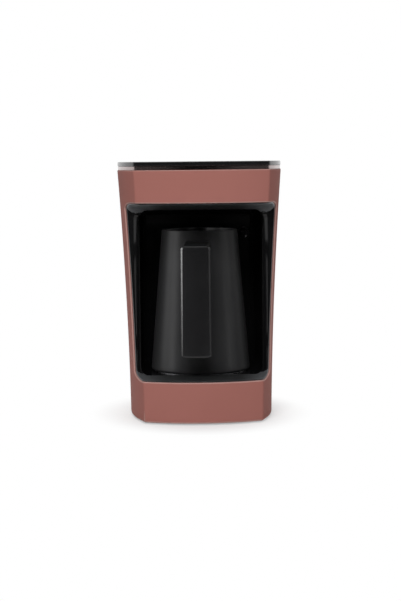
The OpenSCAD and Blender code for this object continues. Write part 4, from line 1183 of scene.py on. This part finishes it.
@dataclass
class TopRing(Part):
    """The thin bright ring under the cover."""

    plan: FlaredPlan
    height: float = 3.8 * MM
    skirt: float = 4 * MM
    skirt_inset: float = 2.65 * MM
    inner: float = 4.25 * MM
    recess: float = 0.7 * MM
    edge: float = 0.3 * MM
    steps: int = 240

    @property
    def top(self) -> float:
        """Height of its upper face."""
        return self.plan.height + self.height

    @property
    def skirt_low(self) -> float:
        """Height where its skirt ends."""
        return self.plan.height - self.skirt

    def build(self) -> None:
        """Builds and dresses the ring."""
        low, top, skirt_low = self.plan.height, self.top, self.skirt_low
        out, bevelled = self.recess, self.recess + self.edge
        profile = [
            (self.inner, skirt_low), (self.skirt_inset, skirt_low), (self.skirt_inset, low),
            (bevelled, low), (out, low + self.edge), (out, top - self.edge), (bevelled, top),
            (self.inner, top), (self.inner, skirt_low)]
        self.skin.loft([
            self.plan.loop(z, inset, min(z, low), self.steps) for inset, z in profile])
        self.publish("top_ring", "bright_trim", "housing", ["trim_ring"])


@dataclass
class Cover(Part):
    """The gloss cover plate, with the hole for the button's light ring."""

    plan: FlaredPlan
    ring: TopRing
    thickness: float = 4.2 * MM
    edge_r: float = 1.0 * MM
    under_edge: float = 0.4 * MM
    recess: float = 0.3 * MM
    hole_r: float = 18.05 * MM
    hole_y: float = -40 * MM
    rim: float = 0.35 * MM
    skirt_gap: float = 0.25 * MM
    skirt_t: float = 1.6 * MM
    round_steps: int = 5
    flat_steps: int = 6
    rim_steps: int = 3

    def build(self) -> None:
        """Builds and dresses the cover."""
        low, top = self.ring.top, self.ring.top + self.thickness
        skirt = self.ring.inner + self.skirt_gap
        inner = skirt + self.skirt_t
        rings = [
            self.loop(skirt, low), self.loop(self.recess + self.under_edge, low),
            self.loop(self.recess, low + self.under_edge)]
        for a, b in rounding(self.round_steps):
            rings.append(self.loop(self.recess + self.edge_r * a, top - self.edge_r * b))
        brink = self.loop(self.recess + self.edge_r, top)
        near = self.hole(self.hole_r + self.rim, top)
        for t in between(0.0, 1.0, self.flat_steps):
            rings.append([a.lerp(b, t) for a, b in zip(brink, near)])
        for a, b in rounding(self.rim_steps, 1):
            rings.append(self.hole(self.hole_r + self.rim * b, top - self.rim * a))
        rings += [
            self.hole(self.hole_r, low), self.loop(inner, low),
            self.loop(inner, self.ring.skirt_low), self.loop(skirt, self.ring.skirt_low), rings[0]]
        self.skin.loft(rings)
        self.publish("cover", "black_gloss", "housing", ["top_cover"])

    def loop(self, inset: float, z: float) -> list[Vector]:
        """A loop round the cover."""
        return self.plan.loop(z, inset, self.plan.height, self.ring.steps)

    def hole(self, radius: float, z: float) -> list[Vector]:
        """A ring round the button's hole, point for point with the cover's edge."""
        middle = Vector((0.0, self.hole_y, z))
        return [middle + (point - middle).normalized() * radius for point in self.loop(0.0, z)]


@dataclass
class ButtonSpring(Part):
    """The coil spring that lifts the button."""

    wire_d: float = 0.8 * MM
    working_turns: int = 3
    closed_rise: float = 0.92 * MM
    travel: float = 1.2 * MM
    steps: int = 32
    sides: int = 10

    def build(self) -> None:
        """Builds and dresses the spring."""
        low, high = (Vector(corner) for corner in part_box("button_spring"))
        axis = (low + high) / 2
        height = high.z - low.z
        start = Matrix.Translation((high.x - self.wire_d / 2, axis.y, low.z + self.wire_d / 2))
        bm = self.skin.bm
        wire = bmesh.ops.create_circle(
            bm, cap_ends=False, segments=self.sides, radius=self.wire_d / 2,
            matrix=start @ Matrix.Rotation(math.radians(90), 4, "X"))["verts"]
        self.skin.cap(wire)
        geom = wire + self.skin.edges(wire)
        rise = (height - self.wire_d - 2 * self.closed_rise) / self.working_turns
        for turn in [self.closed_rise] + [rise] * self.working_turns + [self.closed_rise]:
            geom = bmesh.ops.spin(
                bm, geom=geom, cent=axis, axis=UP, dvec=(0, 0, turn / self.steps),
                angle=math.tau, steps=self.steps, use_merge=False, use_duplicate=False)["geom_last"]
        bmesh.ops.contextual_create(bm, geom=geom)
        self.skin.clean()
        piece = self.publish("spring", "sheet_steel", "housing", ["button_spring"])
        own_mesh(piece)


# ------------------------------------------------------------- pot and handle


@dataclass(frozen=True)
class PotPlace:
    """Where the pot stands, and the cone that its wall follows."""

    base_z: float = 43.2 * MM
    turn: float = -5.0
    height: float = 141.6 * MM
    base_r: float = 49.7 * MM
    rim_r: float = 37.7 * MM

    def cone_r(self, h: float) -> float:
        """The pot's outer radius at a height above its base."""
        return lerp(self.base_r, self.rim_r, h / self.height)

    def settle(self, bm: bmesh.types.BMesh) -> None:
        """Moves a mesh from the pot's own frame to its place on the plate."""
        turn = Matrix.Rotation(math.radians(self.turn), 4, "Z")
        bmesh.ops.transform(
            bm, matrix=Matrix.Translation((0.0, 0.0, self.base_z)) @ turn, verts=bm.verts[:])


@dataclass
class Pot(Part):
    """The conical brewing pot with its pouring lip."""

    place: PotPlace
    wall: float = 1.8 * MM
    edge_r: float = 3 * MM
    disc_r: float = 46.1 * MM
    chamfer: float = 0.2 * MM
    low: float = 0.5 * MM
    floor: float = 3 * MM
    seat: float = 0.02 * MM
    inner_fillet: float = 5 * MM
    lip_reach: float = 6 * MM
    lip_h: float = 22 * MM
    lip_angle: float = 24.0
    lip_narrowing: float = 1.6
    lip_easing: float = 1.2
    steps: int = 160
    rows: int = 40
    round_steps: int = 8

    def build(self) -> None:
        """Builds and dresses the pot."""
        self.skin.spin([(0.0, -r, h) for r, h in self.profile()], math.tau, self.steps, True)
        self.skin.clean()
        self.pull_lip()
        self.place.settle(self.skin.bm)
        self.publish("pot", "pot_coat", "pot", ["pot_body"])

    def profile(self) -> list[Point2]:
        """The wall's closed section, from the disc's edge over the rim and down to the disc.

        Returns:
            Radius and height of each point.
        """
        r_at, steps = self.place.cone_r, self.round_steps
        low, rim_r = self.low + self.edge_r, self.wall / 2
        rim = self.place.height - rim_r
        seat = self.floor + self.seat
        turn, r = seat + self.inner_fillet, self.inner_fillet
        return [
            (self.disc_r, seat), (self.disc_r, self.low + self.chamfer),
            (self.disc_r + self.chamfer, self.low),
            *arc((r_at(low) - self.edge_r, low), (self.edge_r, self.edge_r), -90, 0, steps),
            *((r_at(h), h) for h in between(low, rim, self.rows)),
            *arc((r_at(rim) - rim_r, rim), (rim_r, rim_r), 0, 180, steps),
            *((r_at(h) - self.wall, h) for h in between(rim, turn, self.rows)),
            *arc((r_at(turn) - self.wall - r, turn), (r, r), 0, -90, steps)]

    def pull_lip(self) -> None:
        """Pulls the rim outwards into a pouring lip at the back of the pot."""
        for vert in self.skin.bm.verts:
            away = vert.co.xy
            angle = math.degrees(abs(math.atan2(away.x, away.y)))
            across = math.cos(math.radians(90 * min(angle / self.lip_angle, 1))) ** self.lip_narrowing
            up = smoothstep(1 - (self.place.height - vert.co.z) / self.lip_h) ** self.lip_easing
            vert.co.xy += away.normalized() * self.lip_reach * across * up


@dataclass
class Handle(Part):
    """The strap handle: its core with two arms, and the cover on its front."""

    place: PotPlace
    reach: float = 79 * MM
    low: float = 21 * MM
    top: float = 128.7 * MM
    top_w: float = 28.6 * MM
    bottom_w: float = 29.6 * MM
    grip_t: float = 9.5 * MM
    cover_t: float = 3.5 * MM
    cover_edge: float = 0.22 * MM
    bevel: float = 1.8 * MM
    bow: float = 42 * MM
    core_w: float = 23 * MM
    core_edge: float = 1.0 * MM
    upper_arm: float = 16 * MM
    lower_arm: float = 14 * MM
    slope: float = 5 * MM
    under_slope: float = 0.8
    window_r: float = 5 * MM
    bite: float = 0.35 * MM
    end_r: float = 3.2 * MM
    end_drop: float = 1.2 * MM
    end_easing: float = 1.5
    end_steps: int = 8
    strap_steps: int = 10
    face_steps: int = 16
    back_steps: int = 4
    arm_steps: int = 5
    bend_steps: int = 6
    grip_steps: int = 8
    core_slices: int = 12

    def build(self) -> None:
        """Builds and dresses the handle."""
        self.build_cover()
        self.build_core()

    def face_y(self, x: float, front: float) -> float:
        """Y of the cover's bowed face."""
        return self.bow - front - math.sqrt(self.bow ** 2 - x * x)

    def section(self, width: float, front: float, z: float) -> list[Vector]:
        """The cover's plan at a height.

        Args:
            width: Its width.
            front: Distance of its face's middle from the pot's axis.
            z: The height.

        Returns:
            The section's points.
        """
        half, flat = width / 2, width / 2 - self.bevel
        corner = self.face_y(flat, front) + self.bevel
        back = self.cover_t - self.reach
        points = [(x, self.face_y(x, front)) for x in between(-flat, flat, self.face_steps, 0)]
        points += [(half, corner)]
        points += [(x, back) for x in between(half, -half, self.back_steps, 0)]
        points += [(-half, corner)]
        return [Vector((x, y, z)) for x, y in points]

    def build_cover(self) -> None:
        """Builds the bevelled cover on the handle's front."""
        high, r = self.top - self.low, self.end_r
        ends = [(r * a, r * b) for a, b in rounding(self.end_steps)]
        rows = ends + [(along, 0.0) for along in between(r, high - r, self.strap_steps)[:-1]]
        rows += [(high - along, inset) for along, inset in ends[::-1]]
        self.skin.loft([
            self.section(
                lerp(self.bottom_w, self.top_w, along / high) - 2 * inset,
                self.reach - self.end_drop * (inset / r) ** self.end_easing, self.low + along)
            for along, inset in rows], capped=True)
        self.skin.round_edges(self.cover_edge, segments=3, angle=20)
        self.place.settle(self.skin.bm)
        self.publish("handle_strap", "handle_gloss", "pot", ["handle_cover"], sharp=50)

    def build_core(self) -> None:
        """Builds the core with its two arms, their ends fitted to the pot."""
        half, outline = self.core_w / 2, self.core_outline()
        self.skin.loft([
            [Vector((x, self.on_pot(x, z) if y is None else y, z)) for y, z in outline]
            for x in between(-half, half, self.core_slices, 0)], capped=True)
        self.skin.round_edges(
            self.core_edge, segments=3, angle=50, where=lambda e: all(
                abs(abs(v.co.x) - half) < NEAR and v.co.y < -self.place.base_r - self.core_edge
                for v in e.verts))
        self.place.settle(self.skin.bm)
        self.publish("handle_grip", "black_satin", "pot", ["handle_core"])

    def on_pot(self, x: float, z: float) -> float:
        """Y of the pot's front wall, with the arm's bite into it."""
        return self.bite - math.sqrt(self.place.cone_r(z) ** 2 - x * x)

    def core_outline(self) -> list[tuple[float | None, float]]:
        """The core's side outline.

        Returns:
            Y and Z of each point, with None for the Y of a point that lies on the pot.
        """
        front, grip = self.cover_t - self.reach, self.grip_t - self.reach
        near, r = self.place.cone_r, self.window_r
        window_low, window_high = self.low + self.lower_arm, self.top - self.upper_arm
        rise = self.top + self.slope / 2
        under = window_high + self.slope * self.under_slope
        arm, bend = self.arm_steps, self.bend_steps
        return [
            *((y, self.low) for y in between(front, -near(self.low), bend, 0)[:-1]),
            *((None, z) for z in between(self.low, window_low, arm, 0)),
            *((y, window_low) for y in between(-near(window_low), grip + r, arm)[:-1]),
            *arc((grip + r, window_low + r), (r, r), 270, 180, bend),
            *((grip, z) for z in between(window_low + r, window_high - r, self.grip_steps)),
            *arc((grip + r, window_high - r), (r, r), 180, 90, bend),
            *((lerp(grip + r, -near(under), t), lerp(window_high, under, smoothstep(t)))
              for t in between(0.0, 1.0, arm)[:-1]),
            *((None, z) for z in between(under, rise, arm, 0)),
            *zip(between(-near(rise), front, bend), between(rise, self.top, bend)),
            *((front, z) for z in between(self.top, self.low, self.strap_steps)[:-1])]


# ---------------------------------------------------------- studio and camera


@dataclass(frozen=True)
class Softbox:
    """One soft lamp of the studio, placed round the object's axis."""

    name: str
    azimuth: float
    rise: float
    distance: float
    aim: float
    size: Point2
    radiance: float
    pot_only: bool = False
    mirrored: bool = True

    def place(self, pot: bpy.types.Collection) -> None:
        """Adds the lamp to the scene.

        Args:
            pot: The pot's pieces, which a lamp for the pot alone lights.
        """
        lamp = bpy.data.lights.new(self.name, "AREA")
        lamp.shape = "RECTANGLE"
        lamp.size, lamp.size_y = self.size
        lamp.energy = math.pi * self.size[0] * self.size[1] * self.radiance
        obj = add_object(self.name, lamp)
        obj.location = around(self.azimuth, self.distance, self.rise)
        obj.rotation_mode = "QUATERNION"
        way = Vector((0.0, 0.0, self.aim)) - obj.location
        obj.rotation_quaternion = way.to_track_quat("-Z", "Y")
        obj.visible_glossy = self.mirrored
        if self.pot_only:
            obj.light_linking.receiver_collection = pot
            obj.light_linking.blocker_collection = pot


@dataclass
class Studio:
    """The pale floor, the white background, the lamps and the camera."""

    distance: float = 1.54
    azimuth: float = -2.0
    eye: float = 0.254
    pitch: float = 5.24
    roll: float = 0.57
    pan: float = 0.015
    lens: float = 92.0
    sensor: float = 36.0
    clip: Point2 = (0.05, 50.0)
    background: float = 0.08
    floor_size: float = 7.0
    floor_greys: Point2 = (0.86, 0.89)
    floor_oval: Point3 = (1.25, 1.0, 1.0)
    floor_fade: Point2 = (0.08, 0.145)
    floor_glow: Point2 = (0.42, 1.0)
    floor_cloud: float = 3.0
    card_reach: float = 2.6
    card_near: float = 0.3
    card_lift: float = 0.002
    card_height: float = 1.6
    card_half_angle: float = 70.0
    card_steps: int = 24
    card_near_span: Point2 = (0.0, 0.3)
    card_near_glow: Point2 = (0.022, 0.11)
    card_far_span: Point2 = (0.26, 1.8)
    card_far_glow: Point2 = (0.01, 0.07)
    card_blend: Point2 = (0.75, 1.1)
    lamps: tuple[Softbox, ...] = (
        Softbox("key", -10, 2.5, 3.0, 0.12, (1.7, 1.25), 16.2, mirrored=False),
        Softbox("fill", 75, 1.6, 2.0, 0.12, (0.8, 0.8), 1.6, mirrored=False),
        Softbox("back", 180, 1.4, 1.9, 0.12, (0.8, 0.8), 7.0, mirrored=False),
        Softbox("overhead", 180, 1.7, 0.3, 0.0, (1.2, 1.2), 1.6),
        Softbox("left_strip", -86, 0.3, 1.3, 0.15, (0.34, 0.8), 7.4, pot_only=True),
        Softbox("right_strip", 96, 0.3, 1.3, 0.15, (0.3, 0.8), 4.6, pot_only=True),
    )

    def build(self) -> None:
        """Sets up the studio."""
        self.set_camera()
        self.set_world()
        self.add_floor()
        self.add_card()
        pot = bpy.data.collections.new("pot_pieces")
        for piece in bpy.data.objects:
            if piece.name.startswith(("pot", "handle")):
                pot.objects.link(piece)
        for lamp in self.lamps:
            lamp.place(pot)
        bpy.context.scene.view_settings.view_transform = "Standard"

    def set_camera(self) -> None:
        """Makes the camera and points it."""
        data = bpy.data.cameras.new("camera")
        data.lens, data.sensor_width, data.sensor_fit = self.lens, self.sensor, "AUTO"
        data.clip_start, data.clip_end = self.clip
        camera = add_object("camera", data)
        camera.location = around(self.azimuth, self.distance, self.eye)
        turns = (self.azimuth - self.pan, "Z"), (90 - self.pitch, "X"), (-self.roll, "Z")
        pan, pitch, roll = (Matrix.Rotation(math.radians(angle), 4, axis) for angle, axis in turns)
        camera.rotation_mode = "QUATERNION"
        camera.rotation_quaternion = (pan @ pitch @ roll).to_quaternion()
        bpy.context.scene.camera = camera

    def set_world(self) -> None:
        """Makes a soft grey world that the camera and the gloss see as white."""
        recipe = Recipe(bpy.data.worlds.new("studio"))
        rays = recipe.add("LightPath").outputs
        seen = recipe.maths("MAXIMUM", rays["Is Camera Ray"], rays["Is Glossy Ray"])
        seen = recipe.maths("MAXIMUM", seen, rays["Is Transmission Ray"])
        soft, white = (
            recipe.add("Background", {"Color": WHITE, "Strength": strength}).outputs[0]
            for strength in (self.background, 1.0))
        recipe.surface(recipe.add("MixShader", {0: seen, 1: soft, 2: white}))
        bpy.context.scene.world = recipe.owner

    def stage_piece(self, name: str, skin: Skin, recipe: Recipe) -> bpy.types.Object:
        """Adds a piece of the stage.

        Args:
            name: Its name.
            skin: Its mesh.
            recipe: Its material's nodes.

        Returns:
            The piece.
        """
        piece = skin.to_object(name)
        piece.data.materials.append(recipe.owner)
        return piece

    def add_floor(self) -> None:
        """Adds the pale floor, which runs out to plain white."""
        recipe = Recipe(bpy.data.materials.new("pale_floor"))
        dark, light = ((grey, grey, grey, 1) for grey in self.floor_greys)
        tint = recipe.mix(recipe.noise(self.floor_cloud), dark, light)
        paper = recipe.add(
            "BsdfPrincipled", {"Base Color": tint, "Roughness": 0.7, "Specular IOR Level": 0.1})
        white = recipe.add("Emission", {"Color": WHITE, "Strength": 1.0})
        away = recipe.away(recipe.stretched(self.floor_oval))
        fade = recipe.spread(away, self.floor_fade, self.floor_glow, SOFT)
        rays = recipe.add("LightPath").outputs
        seen = recipe.maths("MAXIMUM", rays["Is Camera Ray"], rays["Is Transmission Ray"])
        share = recipe.maths("MULTIPLY", seen, fade)
        recipe.surface(recipe.add("MixShader", {0: share, 1: paper.outputs[0], 2: white.outputs[0]}))
        skin = Skin()
        bmesh.ops.create_grid(skin.bm, x_segments=1, y_segments=1, size=self.floor_size)
        self.stage_piece("floor", skin, recipe)

    def add_card(self) -> None:
        """Adds the dark card round the camera that gloss black reflects."""
        recipe = Recipe(bpy.data.materials.new("dark_card"))
        aside = recipe.aside()
        near = recipe.spread(aside, self.card_near_span, self.card_near_glow, SOFT)
        far = recipe.spread(aside, self.card_far_span, self.card_far_glow, SOFT)
        share = recipe.spread(recipe.away(recipe.place), self.card_blend, shape=SOFT)
        glow = recipe.add("Mix", {0: share, 2: near, 3: far}, data_type="FLOAT").outputs[0]
        recipe.surface(recipe.add("Emission", {"Strength": glow}))
        angle = self.card_half_angle
        profile = [
            (self.card_near, self.card_lift), (self.card_reach, self.card_lift),
            (self.card_reach, self.card_height)]
        skin = Skin()
        skin.spin(
            [around(-angle, r, z) for r, z in profile], math.radians(2 * angle), self.card_steps, False)
        card = self.stage_piece("card", skin, recipe)
        for rays in ("camera", "diffuse", "shadow", "transmission"):
            setattr(card, f"visible_{rays}", False)


# ----------------------------------------------------------------------- main


def main() -> None:
    """Builds the dressed object and its studio."""
    logging.basicConfig(level=logging.INFO, format="%(name)s: %(message)s")
    wardrobe = Wardrobe()
    wardrobe.dress_frame()
    plan, place = FlaredPlan(), PotPlace()
    opening, cavity, ring = Opening(plan), Cavity(wardrobe), TopRing(wardrobe, plan)
    for part in (
        Sleeve(wardrobe, plan, opening), Bezel(wardrobe, plan, opening, cavity), cavity, ring,
        Cover(wardrobe, plan, ring), ButtonSpring(wardrobe), Pot(wardrobe, place),
        Handle(wardrobe, place),
    ):
        part.build()
        LOG.info("%s built", type(part).__name__)
    Studio().build()


if __name__ == "__main__":
    main()
